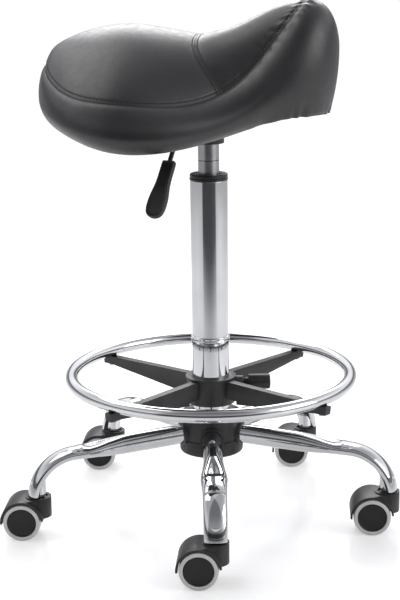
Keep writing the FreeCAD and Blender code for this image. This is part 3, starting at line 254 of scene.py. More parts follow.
def ramp(tree, value, dark, light):
    """Mixes two colours by a value."""
    node = add_node(tree, "ShaderNodeMix", data_type="RGBA")
    tree.links.new(step_up(tree, value, 0.3, 0.7), node.inputs["Factor"])
    node.inputs["A"].default_value = linear(dark)
    node.inputs["B"].default_value = linear(light)
    return node.outputs["Result"]


def bump(tree, shader, height, distance_mm, strength=1.0):
    """Relief of that many millimetres from a height of 0 to 1."""
    node = add_node(tree, "ShaderNodeBump", [(height, "Height")])
    node.inputs["Distance"].default_value = distance_mm * MM
    node.inputs["Strength"].default_value = strength
    tree.links.new(node.outputs["Normal"], shader.inputs["Normal"])


def plastic(name, dark, light, rough, grain_mm=0.7, grain_depth=0.05):
    """Moulded plastic, rubber or paint: faint clouds of tone over a fine grain."""
    material, tree, shader = new_material(name)
    cloud = pattern(tree, "ShaderNodeTexNoise", 35)
    grain = pattern(tree, "ShaderNodeTexNoise", grain_mm, Detail=4.0)
    tree.links.new(ramp(tree, cloud.outputs["Fac"], dark, light), shader.inputs["Base Color"])
    shine = step_up(tree, grain.outputs["Fac"], 0.3, 0.7, rough - 0.05, rough + 0.06)
    tree.links.new(shine, shader.inputs["Roughness"])
    shader.inputs["IOR"].default_value = 1.5
    bump(tree, shader, grain.outputs["Fac"], grain_depth)
    return material


def metal(name, dark, light, rough, spread=0.03):
    """Plated metal, with faint smears in its shine."""
    material, tree, shader = new_material(name)
    cloud = pattern(tree, "ShaderNodeTexNoise", 60)
    smear = pattern(tree, "ShaderNodeTexNoise", 9, Detail=3.0)
    tree.links.new(ramp(tree, cloud.outputs["Fac"], dark, light), shader.inputs["Base Color"])
    shader.inputs["Metallic"].default_value = 1.0
    shine = step_up(tree, smear.outputs["Fac"], 0.3, 0.7, rough, rough + spread)
    tree.links.new(shine, shader.inputs["Roughness"])
    return material


# Glass-filled nylon with a fine moulded grain: a soft grey sheen on round edges.
black_plastic = plastic("black_plastic", "#242425", "#2d2d2e", 0.38)
# The same nylon from a duller mould: the wheel discs read as flat black faces.
disc_plastic = plastic("disc_plastic", "#19191a", "#202021", 0.50, 0.9, 0.09)
# Light grey polyurethane, matt: the palest ring on each wheel.
tread_rubber = plastic("tread_rubber", "#d2d2d0", "#dcdcda", 0.50, 0.5, 0.04)
# Natural nylon of the bearing parts: warm white and waxy.
nylon = plastic("nylon", "#cfccc2", "#dcd9cf", 0.45)
# Rubber of the lift's buffer: nearly black and dull.
rubber = plastic("rubber", "#1b1b1b", "#232323", 0.7)
# Cold-cured polyurethane foam: pale yellow, open-celled and matt.
foam_finish = plastic("foam", "#d8cfa8", "#e6ddb8", 0.9, 0.5, 0.2)
# Chromium plate on polished steel: mirrors the room in hard dark and white streaks.
chrome = metal("chrome", "#d4d5d7", "#e0e1e2", 0.045)
# Zinc-plated bolts and pins: a grey gleam with no image in it.
zinc = metal("zinc", "#a9aaad", "#bcbdbf", 0.28, 0.08)
# Powder-coated steel pressings: black with a slight orange peel.
black_steel = plastic("black_steel", "#1e1e1f", "#262627", 0.45, 0.5, 0.05)

# Ground steel of the gas cylinder: grey, finely ringed, with one dark joint line round it.
grey_steel, tree, shader = new_material("grey_steel")
shader.inputs["Metallic"].default_value = 1.0
turning = pattern(tree, "ShaderNodeTexWave", 0.5, Distortion=0.8)
turning.bands_direction = "Z"
cloud = pattern(tree, "ShaderNodeTexNoise", 12)
level = add_node(tree, "ShaderNodeTexCoord").outputs["Object"]
level = add_node(tree, "ShaderNodeSeparateXYZ", [(level, "Vector")]).outputs["Z"]
JOINT_LINE, JOINT_HALF_WIDTH = 496.2, 0.5
joint_line = maths(tree, "COMPARE", level, JOINT_LINE * MM, JOINT_HALF_WIDTH * MM)
tone = ramp(tree, cloud.outputs["Fac"], "#b4b5b7", "#c0c1c3")
line_mix = add_node(tree, "ShaderNodeMix", [(joint_line, "Factor")], data_type="RGBA")
tree.links.new(tone, line_mix.inputs["A"])
line_mix.inputs["B"].default_value = linear("#3c3c3e")
tree.links.new(line_mix.outputs["Result"], shader.inputs["Base Color"])
shine = maths(tree, "MULTIPLY_ADD", turning.outputs["Fac"], 0.05, 0.27)
tree.links.new(shine, shader.inputs["Roughness"])
bump(tree, shader, turning.outputs["Fac"], 0.004, 0.4)

# Moulded beech plywood, stained black: a dark face with a little figure left in it.
plywood, tree, shader = new_material("plywood")
plies = pattern(tree, "ShaderNodeTexWave", 5.0, Distortion=4.0, Detail=3.0)
plies.bands_direction = "Y"
fibres = pattern(tree, "ShaderNodeTexNoise", 3.0, Detail=6.0)
figure = maths(tree, "MULTIPLY", maths(tree, "ADD", fibres.outputs["Fac"], plies.outputs["Fac"]), 0.5)
tree.links.new(ramp(tree, figure, "#232120", "#343130"), shader.inputs["Base Color"])
shader.inputs["Roughness"].default_value = 0.65
bump(tree, shader, fibres.outputs["Fac"], 0.1)

# The finish of each slot. The leather cover is replaced by the seat below, which has its own.
FINISHES = {
    "black_steel": black_steel,
    "chrome": chrome,
    "black_plastic": black_plastic,
    "bright_steel": zinc,
    "rubber": rubber,
    "grey_steel": grey_steel,
    "plywood": plywood,
    "foam": foam_finish,
    "leather": black_plastic,
    "nylon": nylon,
    "tread": tread_rubber,
}


# Every node takes its slot's finish; a piece that is modelled finer below replaces its node.
for entry in frame["record"]["subparts"]:
    piece = NODES[entry["node"]]
    piece.data.materials.clear()
    piece.data.materials.append(FINISHES[entry["material_slot"]])
    for polygon in piece.data.polygons:
        polygon.use_smooth = True


# Riser tube: chromed steel tube welded into the hub, turned from its profile. The foot ring's
# bracket slides on it.
def weld(piece):
    """Joins points that lie on one another."""
    piece.modifiers.new("Weld", "WELD").merge_threshold = 0.01 * MM


def roll_edges(piece, width_mm, segments, angle):
    """Rolls over every edge sharper than an angle in degrees."""
    edge = piece.modifiers.new("Edge", "BEVEL")
    edge.width = width_mm * MM
    edge.segments = segments
    edge.limit_method = "ANGLE"
    edge.angle_limit = math.radians(angle)
    edge.harden_normals = True


def turned_mesh(name, profile, material, segments, centre=(0, 0, 0), axis=(0, 0, 1)):
    """Turns a closed (radius, height) profile in millimetres about an axis."""
    turn = Vector(axis).to_track_quat("Z", "X")
    points = []
    faces = []
    count = len(profile)
    for step in range(segments):
        angle = 2 * math.pi * step / segments
        for radius, height in profile:
            spot = Vector((radius * math.cos(angle), radius * math.sin(angle), height)) * MM
            points.append(Vector(centre) + turn @ spot)
    for step in range(segments):
        after = (step + 1) % segments
        for number in range(count):
            above = (number + 1) % count
            here, there = step * count, after * count
            faces.append((here + number, there + number, there + above, here + above))
    piece = new_mesh(name, points, faces, material)
    weld(piece)
    roll_edges(piece, 0.35, 2, 28)
    return piece


def lathe(name, profile, material, body, node, slot, segments=128, **place):
    """A turned piece that takes a node's place; it may have its own centre and axis."""
    piece = turned_mesh(name, profile, material, segments, **place)
    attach(piece, body)
    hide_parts(node)


def rounded(corner, radius, start):
    """A quarter round at a (radius, height) corner, from a first angle in degrees."""
    points = []
    for step in range(6):
        angle = math.radians(start + 18 * step)
        points.append((corner[0] + radius * math.cos(angle), corner[1] + radius * math.sin(angle)))
    return points


low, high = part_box("riser_tube")
outer = high.x / MM
base_z, top_z = low.z / MM, high.z / MM
TUBE_WALL = 1.5
inner = outer - TUBE_WALL
riser = [(inner, base_z), (outer, base_z), (outer, top_z), (inner, top_z)]
lathe("riser", riser, chrome, "base", "riser_tube", "chrome")

# Joint collar: a rolled chromed ring with two beads, over the step between the two tubes.
low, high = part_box("joint_collar")
outer = high.x / MM
base_z, top_z = low.z / MM, high.z / MM
BORE, BEAD, GROOVE = 25.0, 1.4, 0.9
collar = [(BORE, base_z), *rounded((outer - BEAD, base_z + BEAD), BEAD, -90)]
collar += [(outer - GROOVE, base_z + 3.2), (outer - GROOVE, base_z + 3.9)]
collar += [*rounded((outer - BEAD, top_z - BEAD), BEAD, 0), (BORE, top_z)]
lathe("collar", collar, chrome, "base", "joint_collar", "chrome")

# Stand tube: the gas lift's outer tube, drawn steel, chromed, its plug wedged in the riser.
low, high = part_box("stand_tube")
outer = high.x / MM
top_z = high.z / MM
ROD_HOLE, SHOULDER, BORE_FLOOR = 5.05, 249.5, 199.0
stand = [(ROD_HOLE, low.z / MM), (22.7, low.z / MM), (23.7, SHOULDER), (outer, SHOULDER)]
stand += [(outer, top_z - 0.6), (outer - 0.5, top_z), (outer - 1.5, top_z)]
stand += [(outer - 1.5, SHOULDER + 7), (20.7, SHOULDER), (20.7, BORE_FLOOR), (ROD_HOLE, BORE_FLOOR)]
lathe("stand", stand, chrome, "base", "stand_tube", "chrome")

# Guide bush: black plastic ring at the top of the stand tube, with a lip the cylinder passes.
low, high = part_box("guide_bush")
outer = high.x / MM
top_z = high.z / MM
SLIDE, IN_TUBE, FLANGE = 14.05, 23.5, 470.0
bush = [(SLIDE, low.z / MM), (IN_TUBE, low.z / MM), (IN_TUBE, FLANGE), (outer, FLANGE)]
bush += [(outer, FLANGE + 2.6), (outer - 1.0, FLANGE + 3.2), (outer - 1.0, FLANGE + 4.0)]
bush += [(outer - 0.4, FLANGE + 4.4), *rounded((outer - 2.0, top_z - 1.6), 1.6, 0)]
bush += [(16.0, top_z), (SLIDE, top_z - 1.6)]
lathe("bush", bush, black_plastic, "base", "guide_bush", "black_plastic")

# Gas cylinder: ground grey steel that slides in the bush and lifts the seat.
low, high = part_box("gas_cylinder")
base_z, top_z = low.z / MM, high.z / MM
PIN_HOLE, CYLINDER_BORE, TAPER_FOOT = 4.05, 12.0, 519.0
cylinder = [(ROD_HOLE, base_z), (13.4, base_z), (14.0, base_z + 1.0), (14.0, TAPER_FOOT)]
cylinder += [(13.2, top_z), (PIN_HOLE, top_z), (PIN_HOLE, top_z - 20), (CYLINDER_BORE, top_z - 20)]
cylinder += [(CYLINDER_BORE, base_z + 12), (ROD_HOLE, base_z + 12)]
lathe("cylinder", cylinder, grey_steel, "seat", "gas_cylinder", "grey_steel")

# Foot ring: one chromed tube bent to a circle, with the thin bead of its butt weld.
low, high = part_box("foot_ring")
tube = (high.z - low.z) / 2
reach = high.x - tube
middle = (low.z + high.z) / 2
points = []
faces = []
RING_STEPS, RING_SIDES, WELD_STEP = 288, 40, 200
for step in range(RING_STEPS):
    angle = 2 * math.pi * step / RING_STEPS
    swollen = tube * (1 + 0.012 * math.exp(-(((step - WELD_STEP) / 1.2) ** 2)))
    here, there = step * RING_SIDES, (step + 1) % RING_STEPS * RING_SIDES
    for side in range(RING_SIDES):
        turn = 2 * math.pi * side / RING_SIDES
        radius = reach + swollen * math.cos(turn)
        level = middle + swollen * math.sin(turn)
        points.append((radius * math.cos(angle), radius * math.sin(angle), level))
        up = (side + 1) % RING_SIDES
        faces.append((here + side, there + side, there + up, here + up))
ring = new_mesh("ring", points, faces, chrome)
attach(ring, "footrest")
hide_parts("foot_ring")

# Moulded and pressed pieces: bracket, hub covers, clamp knob, seat plate and the small hardware.
# Each gets the rolled edges that a mould or a press gives it.
def soften(piece, width_mm, angle=32):
    """Joins a piece's points, merges its flat faces and rolls its edges over."""
    weld(piece)
    flat = piece.modifiers.new("Flat", "DECIMATE")
    flat.decimate_type = "DISSOLVE"
    flat.angle_limit = math.radians(0.5)
    roll_edges(piece, width_mm, 3, angle)


soften(NODES["ring_bracket"], 0.9)
soften(NODES["hub_upper_cover"], 0.8)
soften(NODES["hub_lower_cover"], 0.8)
soften(NODES["clamp_knob"], 0.7)
soften(NODES["seat_plate"], 0.5)
for name in ("seat_bolts", "tee_nuts", "ring_screws", "caster_stems"):
    soften(NODES[name], 0.25, 40)
for name in ("lever_rod", "hub_core", "seat_board"):
    soften(NODES[name], 0.25, 40)

# Cover lips: short sleeves, part of the hub covers' moulding, that close round each leg.
LEG_TURNS = [math.radians(48 + 72 * number) for number in range(5)]
LEG_FALL = math.radians(3.3)
COVER_REACH, COVER_HEIGHT = 42, 118.7
lip_root = Vector((0, 0, COVER_HEIGHT + COVER_REACH * math.tan(LEG_FALL))) * MM
lip_profile = [(13.6, 33.0), (16.9, 33.0), (16.6, 43.0)]
lip_profile += [*rounded((15.6, 43.2), 0.9, 0), (13.6, 44.1)]
for number, turn_angle in enumerate(LEG_TURNS, 1):
    along = Vector((math.cos(turn_angle), math.sin(turn_angle), -math.tan(LEG_FALL))).normalized()
    lip = turned_mesh(f"hub_lip_{number}", lip_profile, black_plastic, 64, lip_root, along)
    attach(lip, "base")

# Legs: chromed steel tube, pinched flat over its outer half and bent down over the caster.
# The press leaves a dimple on top where round turns to flat. The caster socket is welded in.
LEG_REACH = (24, 95, 128, 150, 166, 178, 192, 215, 262)
LEG_WIDE = (13.5, 13.5, 13.9, 15.3, 16.9, 17.6, 16.8, 15.6, 14.6)
LEG_DEEP = (13.5, 13.5, 13.2, 11.6, 9.6, 8.6, 8.3, 8.0, 7.3)
LEG_ROOT, BEND_START, BEND_RADIUS, BEND_END = 24, 197, 60, math.radians(83)
STRAIGHT_ROWS, BEND_ROWS, LEG_SIDES, SOCKET_SIDES = 64, 32, 48, 32
DIMPLE_DEPTH, CREASE_RISE, CREASE_REACH = 2.9, 0.6, 185
SWIVEL_REACH = 246.8
SOCKET = ((9.3, 58.0), (10.3, 59.0), (10.3, 76.0))


def clamped(value):
    """A number held between 0 and 1."""
    return min(1.0, max(0.0, value))


def ring_faces(rows, sides, first=0, caps=True):
    """Faces that join closed rings of points in turn, with a cap on each end."""
    faces = []
    for row in range(rows - 1):
        below, above = first + row * sides, first + (row + 1) * sides
        for side in range(sides):
            after = (side + 1) % sides
            faces.append((below + side, below + after, above + after, above + side))
    if caps:
        faces.append(tuple(range(first + sides - 1, first - 1, -1)))
        faces.append(tuple(range(first + (rows - 1) * sides, first + rows * sides)))
    return faces


def leg_stations():
    """Reach, height, slope and girth of each ring of points, from root to rounded end."""
    stations = []
    for number in range(STRAIGHT_ROWS):
        run = LEG_ROOT + (BEND_START - LEG_ROOT) * number / (STRAIGHT_ROWS - 1)
        level = COVER_HEIGHT - (run - COVER_REACH) * math.tan(LEG_FALL)
        stations.append((run, level, LEG_FALL, 1.0))
    bend_height = stations[-1][1]
    for number in range(1, BEND_ROWS + 1):
        slope = LEG_FALL + (BEND_END - LEG_FALL) * number / BEND_ROWS
        run = BEND_START + BEND_RADIUS * (math.sin(slope) - math.sin(LEG_FALL))
        level = bend_height - BEND_RADIUS * (math.cos(LEG_FALL) - math.cos(slope))
        stations.append((run, level, slope, 1.0))
    run, level, slope, _ = stations[-1]
    for shrink in (0.93, 0.75, 0.4):
        stations.append((run + 0.1, level - 1.2 * (1 - shrink), slope, shrink))
    return stations


def leg_mesh(turn_angle):
    """Points and faces of one leg turned to its place."""
    stations = leg_stations()
    points = []
    for run, level, slope, shrink in stations:
        wide = np.interp(run, LEG_REACH, LEG_WIDE) * shrink
        deep = np.interp(run, LEG_REACH, LEG_DEEP) * shrink
        square = 2.0 + 0.2 * clamped((run - 120) / 50)
        start, stop = clamped((run - 114) / 60), clamped((187 - run) / 16)
        dimple = DIMPLE_DEPTH * start * start * (3 - 2 * start) * stop * stop * (3 - 2 * stop) * shrink
        groove_width = (0.30 + 0.24 * start) * wide
        crease = CREASE_RISE * math.exp(-(((run - CREASE_REACH) / 3.0) ** 2))
        for side in range(LEG_SIDES):
            angle = 2 * math.pi * side / LEG_SIDES
            cos, sin = math.cos(angle), math.sin(angle)
            across = wide * math.copysign(abs(cos) ** (2 / square), cos)
            out = deep * math.copysign(abs(sin) ** (2 / square), sin)
            if sin > 0:
                out -= dimple * math.exp(-((across / groove_width) ** 2)) * sin - crease * sin
            points.append((run + out * math.sin(slope), across, level + out * math.cos(slope)))
    faces = ring_faces(len(stations), LEG_SIDES)
    first = len(points)
    for radius, level in SOCKET:
        for side in range(SOCKET_SIDES):
            angle = 2 * math.pi * side / SOCKET_SIDES
            points.append((SWIVEL_REACH + radius * math.cos(angle), radius * math.sin(angle), level))
    faces += ring_faces(len(SOCKET), SOCKET_SIDES, first)
    cos, sin = math.cos(turn_angle), math.sin(turn_angle)
    return [((x * cos - y * sin) * MM, (x * sin + y * cos) * MM, z * MM) for x, y, z in points], faces


for number, turn_angle in enumerate(LEG_TURNS, 1):
    leg = new_mesh(f"leg_tube_{number}", *leg_mesh(turn_angle), chrome)
    roll_edges(leg, 0.5, 2, 40)
    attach(leg, "base")
    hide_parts(f"leg_{number}")

# Casters: a moulded hood, and two wheels, each a black nylon disc in a soft grey tread.
TRAIL = math.radians(97.9)
TRAIL_REACH, AXLE_HEIGHT, INNER_FACE = 20.3, 25, 8.15
SIDEWAYS = Vector((-math.sin(TRAIL), math.cos(TRAIL), 0))
tread_profile = [(19.7, 0.6), (22.5, 0.0), (24.0, 0.5), (24.8, 1.7), (25.0, 3.2), (25.0, 15.2)]
tread_profile += [(24.8, 16.4), (24.2, 17.4), (23.2, 18.0), (21.6, 18.2), (20.2, 18.0), (19.7, 17.4)]
disc_profile = [(4.05, 0.0), (19.6, 0.0), (19.6, 16.2), (19.2, 16.9), (18.4, 17.1), (17.9, 16.8)]
disc_profile += [(17.4, 16.3), (12.0, 16.15), (5.0, 16.1), (0.01, 16.1), (0.01, 13.2), (4.05, 13.2)]
for number, turn_angle in enumerate(LEG_TURNS, 1):
    soften(NODES[f"caster_{number}_hood"], 1.1)
    swivel = Vector((math.cos(turn_angle), math.sin(turn_angle), 0)) * SWIVEL_REACH * MM
    axle = swivel + Vector((math.cos(TRAIL), math.sin(TRAIL), 0)) * TRAIL_REACH * MM
    axle.z = AXLE_HEIGHT * MM
    for side, outward in (("a", 1), ("b", -1)):
        axis = SIDEWAYS * outward
        place = axle + axis * INNER_FACE * MM
        body = f"wheel_{number}{side}"
        lathe(
            f"tread_{number}{side}", tread_profile, tread_rubber, body,
            f"caster_{number}_tread_{side}", "tread", 96, centre=place, axis=axis,
        )
        lathe(
            f"disc_{number}{side}", disc_profile, disc_plastic, body,
            f"caster_{number}_disc_{side}", "black_plastic", 96, centre=place, axis=axis,
        )

# Lever paddle: a moulded spoon pushed on the lever's rod, with a raised rim round its thumb
# face. The rod runs level out from the seat plate and bends down to it.
LEVER = math.radians(163.1)
SLOPE = math.radians(55.0)
OUTWARD = Vector((math.cos(LEVER), math.sin(LEVER), 0))
ACROSS = Vector((-math.sin(LEVER), math.cos(LEVER), 0))
ALONG = OUTWARD * math.cos(SLOPE) - Vector((0, 0, math.sin(SLOPE)))
FACE = OUTWARD * math.sin(SLOPE) + Vector((0, 0, math.cos(SLOPE)))
ROD_HEIGHT, ROD_BEND, ROD_BEND_REACH, PADDLE_REACH = 552.4, 14.0, 74.5, 105.0
arc_reach = ROD_BEND_REACH - ROD_BEND * math.tan(SLOPE / 2) + ROD_BEND * math.sin(SLOPE)
arc_height = ROD_HEIGHT - ROD_BEND + ROD_BEND * math.cos(SLOPE)
paddle_root = OUTWARD * PADDLE_REACH
paddle_root.z = arc_height - (PADDLE_REACH - arc_reach) * math.tan(SLOPE)
edge_side = [(0.0, 8.0), (0.6, 9.0), (14.0, 9.1), (24.0, 9.2), (32.0, 9.6), (39.0, 10.6)]
edge_side += [(46.0, 12.0), (53.0, 13.0), (61.0, 13.3), (68.0, 13.0), (73.5, 11.4)]
edge_side += [(77.2, 8.6), (79.3, 4.8), (80.0, 0.0)]
paddle_edge = edge_side + [(along, -across) for along, across in reversed(edge_side[:-1])]
paddle_rows = [(3.6, -4.2), (1.5, -4.15), (0.4, -3.3), (0.0, -1.8), (0.0, 2.0), (0.3, 3.5), (1.0, 4.1)]
paddle_rows += [(1.9, 4.2), (2.6, 3.7), (3.4, 3.2), (5.0, 2.9)]
points = []
for inset, level in paddle_rows:
    for number, (along, across) in enumerate(paddle_edge):
        before = Vector(paddle_edge[number - 1])
        after = Vector(paddle_edge[(number + 1) % len(paddle_edge)])
        heading = (after - before).normalized()
        at_along = along + inset * heading.y
        at_across = across - inset * heading.x
        points.append((paddle_root + ALONG * at_along + ACROSS * at_across + FACE * level) * MM)
faces = ring_faces(len(paddle_rows), len(paddle_edge))
paddle = new_mesh("paddle", points, faces, black_plastic)
rounding = paddle.modifiers.new("Rounding", "SUBSURF")
rounding.levels = rounding.render_levels = 2
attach(paddle, "lever")
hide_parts("lever_paddle")

# Seat cushion: moulded foam on a plywood board, under black leather sewn from a rear and a
# front top panel and a side band. The hem is stapled under the board, and the leather is
# drawn in at every seam, so the panels swell a little between them.
# Stations run evenly along the seat from the front tip to the back.
HALF_WIDTH = (92.0, 80.5, 118.5, 177.5, 182.5, 178.0)
SEAM_HEIGHT = (707.0, 675.5, 601.0, 584.5, 592.0, 611.0, 625.5)
CROWN_RISE = (1.0, 65.0, 83.0, 88.5, 89.0, 76.5)
EDGE_HEIGHT = (561.0, 555.5, 526.0, 543.5, 547.0)
EDGE_FLARE = (29.7, 5.0, -8.4)
SIDE_BULGE = (41.0, 24.0, 8.0)
# How far up the band it is widest, and how it rounds in to the seam above that.
WIDEST_SHARE = (0.57, 0.46, 0.38, 0.42, 0.55)
ROUNDNESS = (0.43, 0.7, 1.0, 0.9, 0.6)
SEAT_FRONT, SEAT_BACK, SEAT_MIDDLE, BOARD_UNDER = 131.2, -213.8, -40.0, 560.0
SEAT_CENTRE = (SEAT_FRONT + SEAT_BACK) / 2
SEAT_HALF_LENGTH = (SEAT_FRONT - SEAT_BACK) / 2
WAIST_EDGE, WAIST_SWEEP = 34.8, 45.0
COLUMNS = 320
# Rows of stitches lie this far from their seams; a far distance keeps points off every seam.
SEAM_STITCH, WAIST_STITCH, FAR = 5.0, 3.4, 200.0
# Rows lie close by the seam, for its groove, and spread out over the panels.
SEAM_ROWS = np.array([0, 0.7, 1.4, 2.2, 3.1, 4.1, 5.2, 6.4, 7.8, 9.5, 11.5, 14.0])


def station_value(values, along):
    """The smooth curve through values at even stations, from the front tip to the back."""
    places = np.cos(np.pi * np.arange(len(values)) / (len(values) - 1))
    total = 0.0
    for number, place in enumerate(places):
        weight = 1.0
        for other in np.delete(places, number):
            weight = weight * (along - other) / (place - other)
        total = total + weight * values[number]
    return total


def seam_plan(angle):
    """Where the top panels meet the side band, in plan: forward, sideways."""
    along = np.cos(angle)
    sideways = station_value(HALF_WIDTH, along) * np.sin(angle)
    return np.stack([SEAT_CENTRE + SEAT_HALF_LENGTH * along, sideways], -1)


def seam_outward(angle):
    """Unit directions straight out from the seam, in plan."""
    run = seam_plan(angle + 0.01) - seam_plan(angle - 0.01)
    away = np.stack([run[..., 1], -run[..., 0]], -1)
    return away / np.linalg.norm(away, axis=-1, keepdims=True)


def top_point(angle, share):
    """A point of the top panels: share 1 is the seam, 0 the middle. Axes: forward, sideways, up."""
    middle = np.array([SEAT_MIDDLE, 0.0])
    plan = middle + (seam_plan(angle) - middle) * share
    along = np.clip((plan[:, 0] - SEAT_CENTRE) / SEAT_HALF_LENGTH, -1, 1)
    roundness = np.sqrt(1 - along**2)
    half_width = np.maximum(0.01, station_value(HALF_WIDTH, along) * roundness)
    across = np.clip(np.abs(plan[:, 1]) / half_width, 0, 1)
    crown = roundness * station_value(CROWN_RISE, along) * (1 - across**2)
    return np.column_stack([plan, station_value(SEAM_HEIGHT, along) + crown])


def band_point(angle, share):
    """A point of the side band: share 0 is the lower edge, 1 the seam."""
    along = np.cos(angle)
    widest = station_value(WIDEST_SHARE, along)
    bulge = station_value(SIDE_BULGE, along)
    flare = station_value(EDGE_FLARE, along)
    rise = np.clip((share - widest) / (1 - widest), 0, 1)
    fall = np.clip((widest - share) / widest, 0, 1)
    above = bulge * (1 - rise**2) ** station_value(ROUNDNESS, along)
    below = flare + (bulge - flare) * (1 - fall**2)
    offset = np.where(share > widest, above, below)
    plan = seam_plan(angle) + seam_outward(angle) * offset[:, None]
    edge_height = station_value(EDGE_HEIGHT, along)
    height = edge_height + (station_value(SEAM_HEIGHT, along) - edge_height) * share
    return np.column_stack([plan, height])


def rows_by_distance(surface, shares, angle, far_rows, far_end):
    """Rows of points at even distances from the seam, and those distances."""
    steps = np.array([surface(angle, share) for share in shares])
    gaps = np.linalg.norm(np.diff(steps, axis=0), axis=-1)
    lengths = np.concatenate([np.zeros((1, len(angle))), np.cumsum(gaps, axis=0)])
    far = np.linspace(0, far_end, far_rows + 1)[1:, None] * (lengths[-1] - SEAM_ROWS[-1])
    wanted = np.concatenate([np.repeat(SEAM_ROWS[:, None], len(angle), 1), SEAM_ROWS[-1] + far])
    found = np.empty((*wanted.shape, 3))
    for column in range(len(angle)):
        for axis in range(3):
            line = steps[:, column, axis]
            found[:, column, axis] = np.interp(wanted[:, column], lengths[:, column], line)
    return found, wanted


angle = 2 * np.pi * np.arange(COLUMNS) / COLUMNS
top_shares = 1 - np.linspace(0, 1, 400) ** 1.5
band_shares = np.concatenate([1 - 0.5 * np.linspace(0, 1, 260)[:-1] ** 2, np.linspace(0.5, 0, 120)])
top_rows, top_distance = rows_by_distance(top_point, top_shares, angle, 46, 0.985)
band_rows, band_distance = rows_by_distance(band_point, band_shares, angle, 26, 1.0)
# The hem turns in under the board, as (inset, lift) rows. The last ones close the surface just
# inside the board, where nothing shows.
HEM = ((2, 0), (6, 0), (12, 0), (19, 0), (25.5, 0), (26, 2.5), (45, 2.5), (70, 2.5), (100, 2.5))
hem_rows = []
edge_plan = band_rows[-1][:, :2]
reach = edge_plan - np.array([SEAT_MIDDLE, 0.0])
length = np.linalg.norm(reach, axis=-1)
for inset, lift in HEM:
    part = np.maximum(0.1, 1 - inset / length)
    height = BOARD_UNDER - (BOARD_UNDER - band_rows[-1][:, 2]) * part**4 + lift
    hem_rows.append(np.column_stack([edge_plan - reach * (1 - part)[:, None], height]))
rows = np.concatenate([top_rows[::-1], band_rows[1:], np.array(hem_rows)])
hem_distance = np.full((len(hem_rows), COLUMNS), -FAR)
seam_mm = np.concatenate([top_distance[::-1], -band_distance[1:], hem_distance])
SEAM_ROW = len(top_rows) - 1
EDGE_ROW = SEAM_ROW + len(band_rows) - 1


WAIST_ALONG = (WAIST_EDGE - SEAT_CENTRE) / SEAT_HALF_LENGTH
waist_half = station_value(HALF_WIDTH, WAIST_ALONG) * math.sqrt(1 - WAIST_ALONG**2)


def waist_distance(forward, sideways):
    """Distance from the waist seam's line, positive towards the front."""
    across = np.clip(sideways / waist_half, -1.3, 1.3)
    line = WAIST_EDGE - WAIST_SWEEP * (1 - across**4)
    return (forward - line) / np.sqrt(1 + (4 * WAIST_SWEEP * across**3 / waist_half) ** 2)


waist_mm = waist_distance(rows[..., 0], rows[..., 1])
waist_mm[SEAM_ROW + 1 :] = FAR


def surface_normals(grid):
    """Outward normals of the closed grid of rows."""
    around = np.roll(grid, -1, axis=1) - np.roll(grid, 1, axis=1)
    down = np.gradient(grid, axis=0)
    normal = np.cross(around, down)
    normal /= np.maximum(1e-9, np.linalg.norm(normal, axis=-1, keepdims=True))
    centre = np.array([SEAT_MIDDLE, 0.0, 600.0])
    probe = (SEAM_ROW // 2, 0)
    if np.dot(normal[probe], grid[probe] - centre) < 0:
        normal = -normal
    return normal


def valley(distance, width, depth):
    """A soft groove along a line, as a height below the surface."""
    return -depth * np.exp(-((distance / width) ** 2))


# The two panels meet in a soft corner, and the leather is pulled down along every seam. It
# puckers where the seam turns round the horn, and is gathered at the hem under the front.
for _ in range(12):
    near = np.exp(-((seam_mm[1:-1] / 12.0) ** 2))[..., None] * 0.5
    rows[1:-1] += near * ((rows[:-2] + rows[2:]) / 2 - rows[1:-1])
normals = surface_normals(rows)
draw = valley(seam_mm, 4.0, 1.0) + valley(seam_mm - SEAM_STITCH, 1.8, 0.35)
draw += valley(waist_mm, 12.0, 1.4)
draw += valley(waist_mm - WAIST_STITCH, 1.9, 0.4) + valley(waist_mm + WAIST_STITCH, 1.9, 0.4)
PUCKER_PITCH, PLEAT_PITCH, ROW_STEP = 4.9, 7.4, 5.0
around = np.arange(COLUMNS)[None, :]
ahead = np.cos(angle)[None, :]
tip_share = np.clip((ahead - 0.45) / 0.3, 0, 1)
pucker = np.sin(around * 2 * np.pi / PUCKER_PITCH + 1.3 * np.sin(around * 0.37))
draw += tip_share * 0.9 * pucker * np.exp(-(((np.abs(seam_mm) - 6.0) / 6.0) ** 2))
edge_mm = np.abs(np.arange(len(rows)) - EDGE_ROW)[:, None] * ROW_STEP
gather = np.clip((ahead - 0.5) / 0.3, 0, 1) * (0.55 + 0.45 * np.sin(around * 0.31 + 1.0))
pleat = np.sin(around * 2 * np.pi / PLEAT_PITCH + 2.4 * np.sin(around * 0.23)) - 0.3
draw += gather * 1.2 * pleat * np.exp(-((edge_mm / 13.0) ** 2))
rows = rows + normals * draw[..., None]


# Cloth: the leather is held at the seams and the hem, and the foam's pressure swells it between
# them into soft waves. It may move no further than the cap, in millimetres.
CLOTH_CAP, CLOTH_FRAMES, GRIP_REACH = 3.5, 16, 8.0


def to_metres(grid):
    """Places of (forward, sideways, up) rows of points in millimetres."""
    return [(-side * MM, -forward * MM, up * MM) for row in grid for forward, side, up in row]


